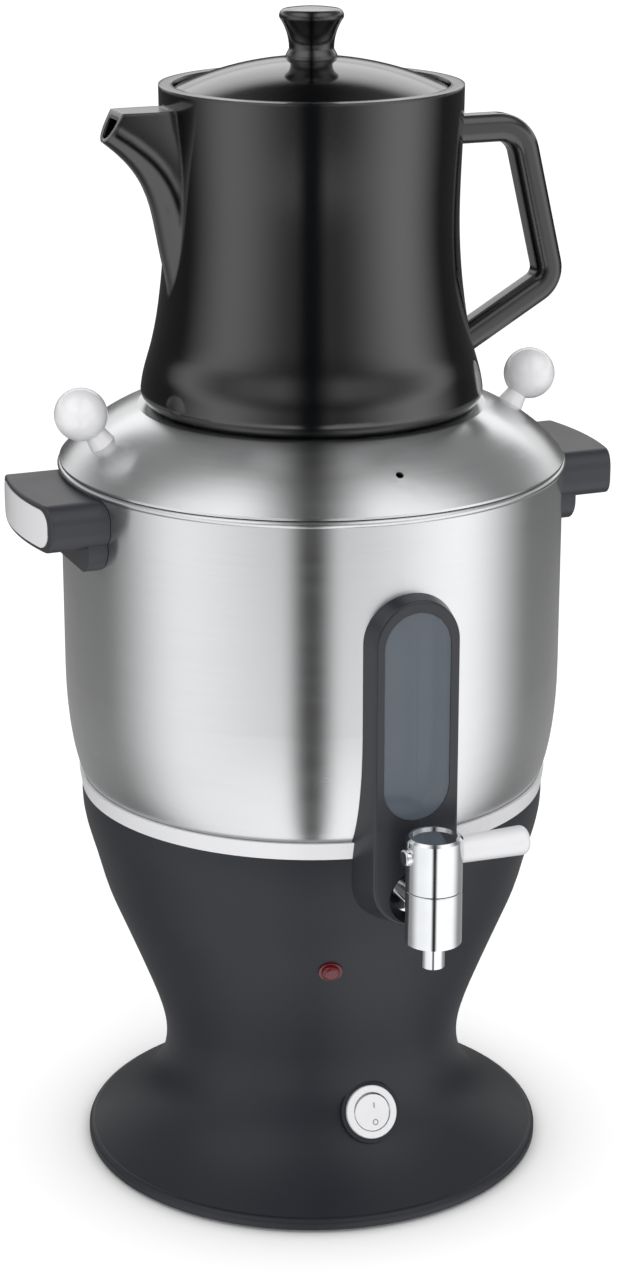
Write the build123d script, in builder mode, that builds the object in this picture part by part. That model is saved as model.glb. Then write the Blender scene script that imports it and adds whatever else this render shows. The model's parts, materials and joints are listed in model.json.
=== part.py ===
from build123d import *
import os
from math import atan, cos, degrees, radians, sin, sqrt

# An electric samovar: a moulded goblet base with the heater, switch and tap, a steel boiler
# with a level gauge and two handles, a steel lid with two ball knobs, and a glazed teapot
# that stands on the lid. All sizes are in millimetres. +Z is up, the origin is the middle
# of the foot ring on the table, the tap faces -Y and the handles point along X.

os.makedirs("parts", exist_ok=True)

# ------------------------------------------------------------------ fits and clearances
snug = 0.1  # radial clearance of a piece that is pushed into its seat and stays there
hug = 0.15  # gap between a moulded piece and the curved wall that it is shaped to
running = 0.05  # radial clearance of a shaft that turns
lift_gap = 0.3  # gap between two pieces that lift apart
swing_gap = 0.6  # gap around the rocker, which tilts
screw_play = 0.3  # radial play of a screw or stud in the sheet it passes through

# ------------------------------------------------------------------ edges and screw recesses
soft_edge = 1.0  # corners and edges of small moulded and turned pieces
fine_edge = 0.8  # rounding of thin rims and heads
trace_edge = 0.4  # rounding where two turned pieces meet
recess_l, recess_w = 1.1, 0.28  # a cross recess's size as shares of the head's radius

# ------------------------------------------------------------------ base
foot_r = 105.5
base_gap = 1.5  # the base's edge stands this far above the table
foot_lip_h = 6.5
lip_round = 2.5
flare_r, flare_z = 90.5, 14.0
ankle_r, ankle_z = 75.2, 28.0
waist_r, waist_z = 68.2, 49.0
calf_r, calf_z = 74.7, 80.0
belly_r, belly_z = 90.7, 120.0
shoulder_r, shoulder_z = 97.5, 140.0
brow_in, brow_z = 2.3, 160.0  # the brow lies this far inside the top edge
base_top_r, base_top_z = 104.7, 178.0
base_wall = 3.0
shelf_t = 3.0
shelf_reach = 0.5  # the shelf reaches this far further in than the collar
cover_t = 2.0
cover_r = 98.5
foot_ring_h = 2.5
foot_ring_r, foot_ring_w = 94.0, 6.0  # middle radius and width
boss_r, boss_h = 4.5, 22.0
cover_screw_r, cover_screw_n = 79.0, 4  # radius of the ring of screws, and their number
small_screw_r, small_screw_l = 1.5, 10.0
small_head_r, small_head_t = 3.2, 1.6
vent_n, vent_r, vent_l, vent_w = 12, 45.0, 24.0, 3.0
block_y, block_w, block_d, block_h = 30.0, 28.0, 14.0, 11.0  # terminal block
block_hole_r = 2.0

# ------------------------------------------------------------------ cord gland
gland_z = 60.0
gland_bore_r = 3.6
gland_neck_r = 5.5
gland_flange_r, gland_flange_t = 8.0, 3.0
gland_inner_t = 2.0
gland_seat_t = 6.0
gland_seat_proud = 0.4

# ------------------------------------------------------------------ switch and lamp
switch_z = 39.0
switch_tilt = 24.0  # the seat leans back by this angle
switch_proud = 1.6
switch_seat_r, switch_seat_t = 14.0, 8.0
switch_rim_r, switch_rim_t = 12.0, 2.0
switch_body_r, switch_body_l = 10.0, 15.0
switch_room = 8.0  # depth of the hollow that the rocker moves in, from the rim's face
rocker_r = 8.2
rocker_above, rocker_below = 2.8, 2.2  # from the pivot to the rocker's edge and underside
rocker_dip = 0.9
rocker_travel = 12.0  # full swing in degrees, half of it each side of level
pivot_r, pivot_depth, pivot_reach = 1.2, 2.4, 1.3
tab_w, tab_sheet, tab_l, tab_space = 4.8, 0.8, 8.0, 8.0
lamp_z = 120.0
lamp_angle = -106.8  # direction from the main axis, with the tap at -90
lamp_sink = 0.4
lamp_flange_r, lamp_flange_t = 5.2, 1.2
lamp_dome_h, lamp_dome_round = 1.8, 1.44
lamp_sleeve_r, lamp_sleeve_l = 4.0, 11.0
lamp_nut_r, lamp_nut_t = 6.5, 1.5
neon_r, neon_l = 2.3, 9.5

# ------------------------------------------------------------------ boiler and collar
vessel_r = 111.0
vessel_wall = 0.8
vessel_lift = 2.0  # the vessel's bottom lies this far above the base's top edge
curve_r, curve_h = 12.0, 55.0  # the quarter ellipse that rounds the vessel's bottom in
rim_z = 329.0
bead_r = 1.6
collar_top_z = 185.6
collar_lip = 1.6
collar_flange_t = 3.0
stud_ring_in, stud_n = 5.0, 3  # the ring of studs lies this far inside the vessel's flat bottom
stud_wall_gap = 5.7  # least room from the base's top edge to that flat bottom
stud_land = 4.0  # width of the collar inside the ring of studs
stud_r, stud_l = 2.0, 10.5
stud_nut_af, stud_nut_t = 7.0, 3.2

# ------------------------------------------------------------------ heater
plate_t, plate_gap = 5.0, 5.0  # thickness, and room between the plate and the outlet elbow
element_r, element_tube_r, element_sunk = 52.0, 4.0, 1.6
element_arc = 300.0
pin_r, pin_l = 3.2, 16.0
thermostat_r, thermostat_h = 8.0, 9.0
fuse_y, fuse_r, fuse_l = 26.0, 2.0, 12.0
clip_w, clip_sheet, clip_ear = 6.0, 0.8, 5.0

# ------------------------------------------------------------------ lid
lid_t = 1.0
lid_edge_r, lid_edge_h = 111.3, 1.0
lid_mid_r, lid_mid_z = 97.0, 343.0  # a point half way up the dome
land_r, land_z = 76.5, 353.0  # the flat that carries the teapot
lid_hole_r, lid_collar_h = 53.0, 7.0
skirt_r, skirt_h = 108.6, 10.0
steam_hole_r = 1.7
ball_r = 11.5
ball_stand = 16.2  # from the lid's surface to the ball's centre
ball_neck_r, ball_foot_r = 4.6, 6.2
ball_screw_r, ball_screw_l = 2.0, 13.0
ball_head_r, ball_head_t = 3.6, 2.4

# ------------------------------------------------------------------ handles
handle_out_r = 135.5
handle_half_w = 35.0
handle_low_z, handle_top_z = 305.0, 325.6
handle_round = 8.0
handle_edge = 1.2
tab_low_z, tab_half_w, tab_t, tab_round = 294.0, 33.0, 3.6, 10.0
insert_w, insert_h, insert_round = 62.0, 16.6, 6.5
insert_t, insert_proud = 1.5, 0.3
handle_screw_angle = 10.4
handle_screw_r = 2.0
handle_screw_end = 9.5  # the screws end this far short of the handle's outer face
handle_head_r, handle_head_t = 4.0, 2.2
seal_r, seal_t = 4.6, 1.0

# ------------------------------------------------------------------ level gauge
gauge_proud = 7.0  # the frame's face stands this far in front of the vessel
gauge_half_w = 19.0
gauge_low_z, gauge_top_z = 150.0, 294.5
gauge_draft, gauge_back = 13.0, 15.0  # the frame's sides reach this far behind the vessel's front
gauge_edge = 1.5
window_half_w = 15.0
window_low_z, window_top_z = 198.0, 289.5
window_sink, window_pane, window_flange = 0.3, 1.0, 0.8
window_ledge = 1.1  # the window's flange reaches this far behind the frame
chamber_half_w = 16.4
chamber_low_z, chamber_top_z = 187.0, 292.0
tube_sink, tube_r, tube_wall = 4.6, 2.2, 0.7  # depth of the tube's axis behind the frame's face
tube_grip = 4.0  # length of tube inside each fitting
fitting_low_z, fitting_top_z = 195.0, 286.0
fitting_half_w, fitting_half_h = 4.5, 4.5
fitting_sink = 2.3
nipple_r, nipple_l, port_r = 3.0, 7.5, 1.6
gauge_seal_r, gauge_seal_t = 5.5, 1.2
gauge_nut_af, gauge_nut_t = 10.0, 2.5

# ------------------------------------------------------------------ tap
tap_stand = 18.5  # from the gauge frame's face to the tap's upright axis
tap_r = 12.0
tap_low_z, tap_seam_z, tap_top_z = 148.6, 174.6, 198.0
tap_cone_h, tap_edge = 2.2, 1.2
seam_gap = 0.4
nozzle_r, nozzle_low_z = 4.95, 139.2
water_r = 3.0
stem_z, stem_r = 163.0, 5.0
recess_r, recess_sink = 12.0, 9.0
stem_flange_r, stem_flange_t = 8.5, 2.5
gasket_r, gasket_t = 8.3, 1.5
pad_in, pad_half_w = 4.9, 12.0  # flat inside face that the tap's nut bears on, this far inside the brow
stem_reach, elbow_reach = 10.0, 16.5  # from that face to the stem's end and to the elbow's axis
nut_af, nut_t = 16.0, 5.0
plug_r, plug_low_z = 8.0, 155.5
spindle_r, spindle_top_z = 5.0, 193.5
cap_hollow_r, cap_hollow_z = 10.0, 180.0
cap_dish = 1.0
o_ring_r, o_ring_z = 0.7, (168.6, 171.8)
lever_z, lever_l = 190.0, 42.5
lever_root_r, lever_tip_r, lever_round = 5.6, 6.4, 3.0
pin_head_r, pin_head_t = 3.7, 2.1
pin_shank_r, pin_end_x = 2.2, 28.0
elbow_r, elbow_bore_r = 6.0, 4.0
elbow_flange_r, elbow_flange_t = 8.0, 2.0
socket_r = 6.8

# ------------------------------------------------------------------ teapot, heights above its foot
pot_base_r, pot_base_h = 75.0, 7.5
pot_low_r, pot_low_h = 70.7, 24.7
pot_hip_r, pot_hip_h = 66.4, 47.0
pot_waist_r, pot_waist_h = 64.1, 73.0
pot_rim_r, pot_h = 65.3, 138.2
pot_wall = 4.0
pot_foot_out_r, pot_foot_in_r, pot_foot_h = 70.0, 65.0, 3.5
pot_seat_r = 59.4  # inside radius of the rim above the lid's ledge
pot_ledge_r, pot_ledge_drop, pot_ledge_t = 56.0, 5.2, 3.2
pot_lid_play = 0.8  # sideways play of the teapot's lid in its seat
pot_lid_edge_h, pot_lid_rise, pot_lid_t = 3.0, 13.0, 3.6
pot_lid_skirt_r, pot_lid_skirt_t, pot_lid_skirt_h = 54.5, 3.0, 8.5
knob_foot_r, knob_neck_r, knob_top_r = 11.0, 9.6, 13.7
knob_h, knob_neck_h, knob_edge_h = 21.0, 3.5, 16.5
knob_sunk, knob_crown_in, knob_crown_drop = 1.0, 2.0, 1.0  # foot into the lid; where the crown's curve ends
strainer_r, strainer_pitch, strainer_h = 2.0, 6.4, 106.0
spout_wall = 3.0
spout_root_x = -40.0
spout_low_h, spout_top_h = 51.7, 130.7
spout_rings_h = (  # height, x of the front, half width
    (51.7, -66.0, 11.0),
    (76.7, -70.5, 12.0),
    (96.7, -75.8, 12.5),
    (108.7, -83.6, 12.0),
    (118.7, -94.8, 11.0),
    (130.7, -106.0, 9.5),
)
mouth_low, mouth_top = (-93.3, 119.7), (-86.9, 131.3)  # line of the spout's mouth, seen from the side
pot_handle_t, pot_handle_w, pot_handle_round = 12.4, 14.0, 4.5
grip_line = ((58.0, 115.0), (98.0, 115.0), (114.7, 46.1), (66.0, 18.0))  # x and height
grip_bends = [14.0, 10.0]

# ------------------------------------------------------------------ derived places
brow_r = base_top_r - brow_in
stud_ring_r = min(vessel_r - curve_r, base_top_r - stud_wall_gap) - stud_ring_in
collar_in_r = stud_ring_r - stud_land
shelf_in_r = collar_in_r - shelf_reach
handle_screw_l = handle_out_r - vessel_r - handle_screw_end
gauge_y = -max(vessel_r + gauge_proud, base_top_r + recess_sink + gauge_proud / 2)
gauge_deep = -gauge_y - vessel_r + gauge_back
tube_y = gauge_y + tube_sink
fitting_front_y = gauge_y + fitting_sink
recess_y = gauge_y + recess_sink
tap_y = gauge_y - tap_stand
pad_y = pad_in - brow_r
stem_end_y = pad_y + stem_reach
elbow_y = pad_y + elbow_reach
plate_r = -elbow_y - elbow_flange_r - plate_gap
vessel_z = base_top_z + vessel_lift
vessel_side_z = vessel_z + curve_h
shelf_z = vessel_z - collar_flange_t  # top of the shelf inside the base
cover_top_z = foot_ring_h + cover_t
plate_z = vessel_z - plate_t
lid_z = rim_z + lift_gap
pot_z = land_z + lift_gap
pot_rim_z = pot_z + pot_h
pot_ledge_z = pot_rim_z - pot_ledge_drop
strainer_z = pot_z + strainer_h
spout_rings = [(pot_z + height, tip, half_width) for height, tip, half_width in spout_rings_h]
spout_low_z, spout_top_z = pot_z + spout_low_h, pot_z + spout_top_h
mouth_plane = Plane(
    origin=(mouth_low[0], 0, pot_z + mouth_low[1]),
    x_dir=(0, 1, 0),
    z_dir=(mouth_low[1] - mouth_top[1], 0, mouth_top[0] - mouth_low[0]),
)
grip_corners = [(x, pot_z + height) for x, height in grip_line]
handle_mid_z = (handle_low_z + handle_top_z) / 2
bead_z = rim_z - bead_r
bead_ring_r = vessel_r - vessel_wall / 2


# ------------------------------------------------------------------ helpers
def upright(angle):
    """Upright plane through the main axis: x points out at the angle, y points up."""
    c, s = cos(radians(angle)), sin(radians(angle))
    return Plane(origin=(0, 0, 0), x_dir=(c, s, 0), z_dir=(s, -c, 0))


def facing(angle, radius, height, lean=0.0):
    """Plane that looks outwards at the angle, leaning back by lean degrees."""
    c, s = cos(radians(angle)), sin(radians(angle))
    out, up = cos(radians(lean)), sin(radians(lean))
    return Plane(origin=(radius * c, radius * s, height), x_dir=(-s, c, 0), z_dir=(c * out, s * out, up))


def beside(edge, distance, count=13):
    """Points along an edge, moved to its left by the distance."""
    points = []
    for i in range(count):
        along = edge % (i / (count - 1))
        points.append(edge @ (i / (count - 1)) + Vector(-along.Y, along.X) * distance)
    return points


def place_on(edge, passed):
    """Share of the edge's length where the test on its points first holds."""
    low, high = 0.0, 1.0
    for _ in range(40):
        middle = (low + high) / 2
        if passed(edge @ middle):
            high = middle
        else:
            low = middle
    return high


def upright_slot(half_width, low, top):
    """Upright slot with round ends between two heights, in the open sketch."""
    with Locations((0, (low + top) / 2)):
        SlotOverall(top - low, 2 * half_width, rotation=90)


def tube(plane, outer, inner, low, high):
    """Ring-shaped solid on a plane, between two distances along its normal."""
    with BuildPart() as ring:
        with BuildSketch(plane.offset(low)):
            Circle(outer)
            if inner > 0:
                Circle(inner, mode=Mode.SUBTRACT)
        extrude(amount=high - low)
    return ring.part


def screw(plane, head_r, head_t, shank_r, shank_l, cross=True):
    """Pan-head screw on a plane: the head above it, the shank below it."""
    with BuildPart() as body:
        with BuildSketch(plane):
            Circle(head_r)
        extrude(amount=head_t)
        fillet(body.edges().sort_by(Axis(plane.origin, plane.z_dir))[-1], head_t / 3)
        with BuildSketch(plane):
            Circle(shank_r)
        extrude(amount=-shank_l)
        if cross:
            with BuildSketch(plane.offset(head_t)):
                Rectangle(head_r * recess_l, head_r * recess_w)
                Rectangle(head_r * recess_w, head_r * recess_l)
            extrude(amount=-head_t / 2, mode=Mode.SUBTRACT)
    return body.part


def save(part, name):
    """Label a finished part and write its file."""
    part.label = name
    export_step(part, f"parts/{name}.step")


# ------------------------------------------------------------------ forms that others meet
with BuildLine() as base_outline:
    Spline(
        (foot_r - lip_round, foot_lip_h),
        (flare_r, flare_z),
        (ankle_r, ankle_z),
        (waist_r, waist_z),
        (calf_r, calf_z),
        (belly_r, belly_z),
        (shoulder_r, shoulder_z),
        (brow_r, brow_z),
        (base_top_r, base_top_z),
        tangents=[(-1, 0.35), (0, 1)],
    )
base_side = base_outline.edges()[0]

with BuildLine() as dome_outline:
    ThreePointArc((lid_edge_r, lid_z + lid_edge_h), (lid_mid_r, lid_mid_z), (land_r, land_z))
dome = dome_outline.edges()[0]

with BuildLine() as pot_outline:
    Spline(
        (pot_base_r, pot_z + pot_base_h),
        (pot_low_r, pot_z + pot_low_h),
        (pot_hip_r, pot_z + pot_hip_h),
        (pot_waist_r, pot_z + pot_waist_h),
        (pot_rim_r, pot_rim_z),
        tangents=[(-0.12, 1), (0, 1)],
    )
pot_side = pot_outline.edges()[0]


def base_form(growth):
    """The base's outside above its lip as a full solid, grown by a distance."""
    with BuildPart() as form:
        with BuildSketch(Plane.XZ):
            with BuildLine():
                side = Spline(*beside(base_side, -growth))
                Polyline(side @ 1, (0, (side @ 1).Y), (0, (side @ 0).Y), side @ 0)
            make_face()
        revolve(axis=Axis.Z)
    return form.part


def vessel_form(growth):
    """The vessel's outside as a full solid up to its rim, widened by a distance."""
    with BuildPart() as form:
        with BuildSketch(Plane.XZ):
            with BuildLine():
                curve = EllipticalCenterArc(
                    (vessel_r - curve_r + growth, vessel_side_z), curve_r, curve_h, start_angle=270, arc_size=90
                )
                Polyline(curve @ 1, (vessel_r + growth, rim_z), (0, rim_z), (0, vessel_z), curve @ 0)
            make_face()
        revolve(axis=Axis.Z)
    return form.part


def vessel_radius(height):
    """Outside radius of the vessel at a height."""
    below = max(vessel_side_z - height, 0) / curve_h
    return vessel_r - curve_r + curve_r * sqrt(1 - below**2)


def collar_form(growth):
    """The collar's outer band as a full solid, widened by a distance."""
    with BuildPart() as form:
        with BuildSketch(Plane.XZ):
            with BuildLine():
                Polyline(
                    (0, base_top_z),
                    (base_top_r + growth, base_top_z),
                    (vessel_radius(collar_top_z) + collar_lip + growth, collar_top_z),
                    (0, collar_top_z),
                    close=True,
                )
            make_face()
        revolve(axis=Axis.Z)
    return form.part


def lid_form():
    """Everything under the lid's outer surface, as a full solid."""
    with BuildPart() as form:
        with BuildSketch(Plane.XZ):
            with BuildLine():
                add(dome)
                Polyline(dome @ 1, (0, land_z), (0, lid_z), (lid_edge_r, lid_z), dome @ 0)
            make_face()
        revolve(axis=Axis.Z)
    return form.part


def on_base(height, angle, lean, proud):
    """Plane on the base's outside at a height, moved out by a distance."""
    spot = base_side @ place_on(base_side, lambda p: p.Y > height)
    return facing(angle, spot.X, height, lean).offset(proud)


def on_vessel(height):
    """Plane on the front of the vessel's outside at a height, square to the wall."""
    below = max(vessel_side_z - height, 0) / curve_h
    slope = curve_r * below / (curve_h * sqrt(1 - below**2))
    return facing(-90, vessel_radius(height), height, -degrees(atan(slope)))


def on_lid(angle):
    """Plane on the lid's dome half way up, square to it."""
    along = dome % place_on(dome, lambda p: p.X < lid_mid_r)
    return facing(angle, lid_mid_r, lid_mid_z, degrees(atan(-along.X / along.Y)))


lamp_slope = base_side % place_on(base_side, lambda p: p.Y > lamp_z)
lamp_seat = on_base(lamp_z, lamp_angle, -degrees(atan(lamp_slope.X / lamp_slope.Y)), -lamp_sink)
switch_seat = on_base(switch_z, -90, switch_tilt, switch_proud)
gland_seat = on_base(gland_z, 90, 0, gland_seat_proud)
stem_line = Plane(origin=(0, 0, stem_z), x_dir=(1, 0, 0), z_dir=(0, -1, 0))
ports = [on_vessel(fitting_low_z), on_vessel(fitting_top_z)]
handle_screws_at = [side + turn for side in (0, 180) for turn in (-handle_screw_angle, handle_screw_angle)]

# ------------------------------------------------------------------ base housing
with BuildPart() as inside_limit:
    add(base_form(-base_wall / 2))
    with BuildSketch():
        Circle(foot_r - base_wall)
    extrude(amount=flare_z)

with BuildPart() as inner_blocks:
    with BuildSketch(Plane.XY.offset(cover_top_z)):
        with PolarLocations(cover_screw_r, cover_screw_n, start_angle=45):
            Circle(boss_r)
    extrude(amount=boss_h)
    with BuildSketch(stem_line.offset(-pad_y)):
        Rectangle(2 * pad_half_w, 2 * pad_half_w)
    extrude(amount=2 * base_wall)
    add(inside_limit.part, mode=Mode.INTERSECT)

with BuildPart() as base_housing:
    with BuildSketch(Plane.XZ):
        with BuildLine():
            outside = Spline(*beside(base_side, 0))
            inside = Spline(*beside(base_side, base_wall))
            Line(outside @ 1, inside @ 1)
            lip = TangentArc((foot_r, foot_lip_h - lip_round), outside @ 0, tangent=(0, 1))
            Polyline(inside @ 0, (foot_r - base_wall, base_gap), (foot_r, base_gap), lip @ 0)
        make_face()
    revolve(axis=Axis.Z)
    with BuildSketch(Plane.XY.offset(shelf_z - shelf_t)):
        Circle(base_top_r - base_wall / 2)
        Circle(shelf_in_r, mode=Mode.SUBTRACT)
    extrude(amount=shelf_t)
    add(inner_blocks.part)
    with BuildSketch(switch_seat):
        Circle(switch_seat_r)
    extrude(amount=-switch_seat_t)
    with BuildSketch(gland_seat):
        Circle(gland_flange_r + gland_seat_proud)
    extrude(amount=-gland_seat_t)
    # flat seats for the switch, the gland and the lamp
    for seat, radius in (
        (switch_seat, switch_seat_r),
        (gland_seat, gland_flange_r + gland_seat_proud),
        (lamp_seat, lamp_flange_r + snug),
    ):
        with BuildSketch(seat):
            Circle(radius)
        extrude(amount=2 * base_wall, mode=Mode.SUBTRACT)
    # openings for the switch, the gland, the lamp, the tap's stem, the screws and the studs
    with BuildSketch(switch_seat):
        Circle(switch_body_r + snug)
    extrude(amount=-2 * switch_seat_t, mode=Mode.SUBTRACT)
    with BuildSketch(gland_seat):
        Circle(gland_neck_r + snug)
    extrude(amount=-2 * gland_seat_t, mode=Mode.SUBTRACT)
    with BuildSketch(lamp_seat):
        Circle(lamp_sleeve_r + snug)
    extrude(amount=-2 * base_wall, mode=Mode.SUBTRACT)
    with BuildSketch(stem_line.offset(-pad_y - base_wall)):
        Circle(stem_r + screw_play)
    extrude(amount=4 * base_wall, mode=Mode.SUBTRACT)
    with BuildSketch(Plane.XY.offset(cover_top_z)):
        with PolarLocations(cover_screw_r, cover_screw_n, start_angle=45):
            Circle(small_screw_r + snug)
    extrude(amount=small_screw_l, mode=Mode.SUBTRACT)
    with BuildSketch(Plane.XY.offset(shelf_z - shelf_t)):
        with PolarLocations(stud_ring_r, stud_n, start_angle=90):
            Circle(stud_r + screw_play)
    extrude(amount=shelf_t, mode=Mode.SUBTRACT)
save(base_housing.part, "base_housing")

with BuildPart() as bottom_cover:
    with BuildSketch(Plane.XY.offset(foot_ring_h)):
        Circle(cover_r)
        with PolarLocations(cover_screw_r, cover_screw_n, start_angle=45):
            Circle(small_screw_r + screw_play, mode=Mode.SUBTRACT)
        with PolarLocations(vent_r, vent_n):
            SlotOverall(vent_l, vent_w, mode=Mode.SUBTRACT)
    extrude(amount=cover_t)
save(bottom_cover.part, "bottom_cover")

save(tube(Plane.XY, foot_ring_r + foot_ring_w / 2, foot_ring_r - foot_ring_w / 2, 0, foot_ring_h), "foot_ring")

with BuildPart() as bottom_screws:
    with PolarLocations(cover_screw_r, cover_screw_n, start_angle=45):
        add(screw(-Plane.XY.offset(foot_ring_h), small_head_r, small_head_t, small_screw_r, small_screw_l))
save(bottom_screws.part, "bottom_screws")

with BuildPart() as cord_gland:
    add(tube(gland_seat, gland_flange_r, gland_bore_r, 0, gland_flange_t))
    fillet(cord_gland.edges().group_by(Axis.Y)[-1], soft_edge)
    add(tube(gland_seat, gland_neck_r, gland_bore_r, -gland_seat_t, 0))
    add(tube(gland_seat, gland_flange_r - snug, gland_bore_r, -gland_seat_t - gland_inner_t, -gland_seat_t))
save(cord_gland.part, "cord_gland")

with BuildPart() as terminal_block:
    with BuildSketch(Plane.XY.offset(cover_top_z)):
        with Locations((0, block_y)):
            RectangleRounded(block_w, block_d, soft_edge)
    extrude(amount=block_h)
    with BuildSketch(Plane.XZ.offset(-block_y)):
        with Locations((0, cover_top_z + block_h / 2)):
            with GridLocations(block_w / 3, 1, 3, 1):
                Circle(block_hole_r)
    extrude(amount=block_d, both=True, mode=Mode.SUBTRACT)
save(terminal_block.part, "terminal_block")

# ------------------------------------------------------------------ switch
with BuildPart() as switch_housing:
    with BuildSketch(switch_seat):
        Circle(switch_rim_r)
    extrude(amount=switch_rim_t)
    fillet(switch_housing.edges().sort_by(Axis(switch_seat.origin, switch_seat.z_dir))[-1], fine_edge)
    with BuildSketch(switch_seat):
        Circle(switch_body_r)
    extrude(amount=-switch_body_l)
    with BuildSketch(switch_seat.offset(switch_rim_t)):
        Circle(rocker_r + swing_gap)
    extrude(amount=-switch_room, mode=Mode.SUBTRACT)
    with Locations(switch_seat.offset(switch_rim_t - pivot_depth)):
        Cylinder(pivot_r + running, 2 * (rocker_r + pivot_reach + snug), rotation=(0, 90, 0), mode=Mode.SUBTRACT)
save(switch_housing.part, "switch_housing")

rocker_rest = Plane(switch_seat.offset(switch_rim_t - pivot_depth).location * Rotation(rocker_travel / 2, 0, 0))
with BuildPart() as switch_rocker:
    with BuildSketch(Plane.YZ):
        with BuildLine():
            Polyline(
                (-rocker_r, -rocker_below),
                (rocker_r, -rocker_below),
                (rocker_r, rocker_above),
                (0, rocker_above - rocker_dip),
                (-rocker_r, rocker_above),
                close=True,
            )
        make_face()
    extrude(amount=rocker_r, both=True)
    Cylinder(rocker_r, 4 * rocker_above, mode=Mode.INTERSECT)
    Cylinder(pivot_r, 2 * (rocker_r + pivot_reach), rotation=(0, 90, 0))
save(switch_rocker.part.moved(rocker_rest.location), "switch_rocker")

with BuildPart() as switch_terminals:
    with BuildSketch(switch_seat.offset(-switch_body_l)):
        with GridLocations(tab_space, 1, 2, 1):
            Rectangle(tab_sheet, tab_w)
    extrude(amount=-tab_l)
save(switch_terminals.part, "switch_terminals")

# ------------------------------------------------------------------ indicator lamp
with BuildPart() as indicator_lens:
    with BuildSketch(lamp_seat):
        Circle(lamp_flange_r)
    extrude(amount=lamp_flange_t)
    with BuildSketch(lamp_seat):
        Circle(lamp_sleeve_r)
    extrude(amount=-lamp_sleeve_l)
    with BuildSketch(lamp_seat.offset(lamp_flange_t)):
        Circle(lamp_sleeve_r)
    extrude(amount=lamp_dome_h)
    fillet(indicator_lens.edges().sort_by(Axis(lamp_seat.origin, lamp_seat.z_dir))[-1], lamp_dome_round)
    with BuildSketch(lamp_seat.offset(-lamp_sleeve_l)):
        Circle(neon_r + snug)
    extrude(amount=neon_l + snug, mode=Mode.SUBTRACT)
save(indicator_lens.part, "indicator_lens")
save(tube(lamp_seat, neon_r, 0, -lamp_sleeve_l, neon_l - lamp_sleeve_l), "neon_lamp")
lamp_nut_z = lamp_sink - base_wall - lamp_nut_r**2 / (belly_r - base_wall) / 2 - snug
save(
    tube(lamp_seat, lamp_nut_r, lamp_sleeve_r + snug, lamp_nut_z - lamp_nut_t, lamp_nut_z),
    "indicator_nut",
)

# ------------------------------------------------------------------ collar and boiler
with BuildPart() as collar_ring:
    with BuildSketch(Plane.XZ):
        with BuildLine():
            Polyline(
                (collar_in_r, shelf_z),
                (base_top_r - base_wall - hug, shelf_z),
                (base_top_r - base_wall - hug, base_top_z),
                (base_top_r, base_top_z),
                (vessel_radius(collar_top_z) + collar_lip, collar_top_z),
                (collar_in_r, collar_top_z),
                close=True,
            )
        make_face()
    revolve(axis=Axis.Z)
    add(vessel_form(hug), mode=Mode.SUBTRACT)
    with BuildSketch(Plane.XY.offset(shelf_z)):
        with PolarLocations(stud_ring_r, stud_n, start_angle=90):
            Circle(stud_r + screw_play)
    extrude(amount=collar_flange_t, mode=Mode.SUBTRACT)
save(collar_ring.part, "collar_ring")

with BuildPart() as boiler_body:
    with BuildSketch(Plane.XZ):
        with BuildLine():
            curve = EllipticalCenterArc(
                (vessel_r - curve_r, vessel_side_z), curve_r, curve_h, start_angle=270, arc_size=90
            )
            inner_curve = EllipticalCenterArc(
                (vessel_r - curve_r, vessel_side_z),
                curve_r - vessel_wall,
                curve_h - vessel_wall,
                start_angle=270,
                arc_size=90,
            )
            Polyline(curve @ 1, (vessel_r, bead_z), (vessel_r - vessel_wall, bead_z), inner_curve @ 1)
            Polyline(curve @ 0, (0, vessel_z), (0, vessel_z + vessel_wall), inner_curve @ 0)
        make_face()
        with Locations((bead_ring_r, bead_z)):
            Circle(bead_r)
    revolve(axis=Axis.Z)
    # outlet, gauge ports and handle screws
    with BuildSketch(Plane.XY.offset(vessel_z)):
        with Locations((0, elbow_y)):
            Circle(elbow_bore_r)
    extrude(amount=vessel_wall, mode=Mode.SUBTRACT)
    for port in ports:
        with BuildSketch(port):
            Circle(nipple_r + snug)
        extrude(amount=2 * vessel_wall, both=True, mode=Mode.SUBTRACT)
    for angle in handle_screws_at:
        with BuildSketch(facing(angle, vessel_r, handle_mid_z)):
            Circle(handle_screw_r + snug)
        extrude(amount=2 * vessel_wall, both=True, mode=Mode.SUBTRACT)
save(boiler_body.part, "boiler_body")

with BuildPart() as boiler_studs:
    with BuildSketch(Plane.XY.offset(vessel_z)):
        with PolarLocations(stud_ring_r, stud_n, start_angle=90):
            Circle(stud_r)
    extrude(amount=-stud_l)
save(boiler_studs.part, "boiler_studs")

with BuildPart() as boiler_nuts:
    with BuildSketch(Plane.XY.offset(shelf_z - shelf_t)):
        with PolarLocations(stud_ring_r, stud_n, start_angle=90):
            RegularPolygon(stud_nut_af / 2, 6, major_radius=False)
            Circle(stud_r + snug, mode=Mode.SUBTRACT)
    extrude(amount=-stud_nut_t)
save(boiler_nuts.part, "boiler_nuts")

# ------------------------------------------------------------------ heater and safety devices
element_z = plate_z - element_tube_r + element_sunk
element_start = 90 + (360 - element_arc) / 2


def element_form(radius):
    """The heating element's bent tube with a given tube radius."""
    with BuildPart() as form:
        with BuildSketch(upright(element_start)):
            with Locations((element_r, element_z)):
                Circle(radius)
        revolve(axis=Axis.Z, revolution_arc=element_arc)
    return form.part


with BuildPart() as heater_plate:
    with BuildSketch(Plane.XY.offset(plate_z)):
        Circle(plate_r)
    extrude(amount=plate_t)
    chamfer(heater_plate.edges().group_by(Axis.Z)[0], soft_edge)
    with BuildSketch(Plane.XZ):
        with Locations((element_r, element_z)):
            Circle(element_tube_r + running)
    revolve(axis=Axis.Z, mode=Mode.SUBTRACT)
save(heater_plate.part, "heater_plate")

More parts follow.
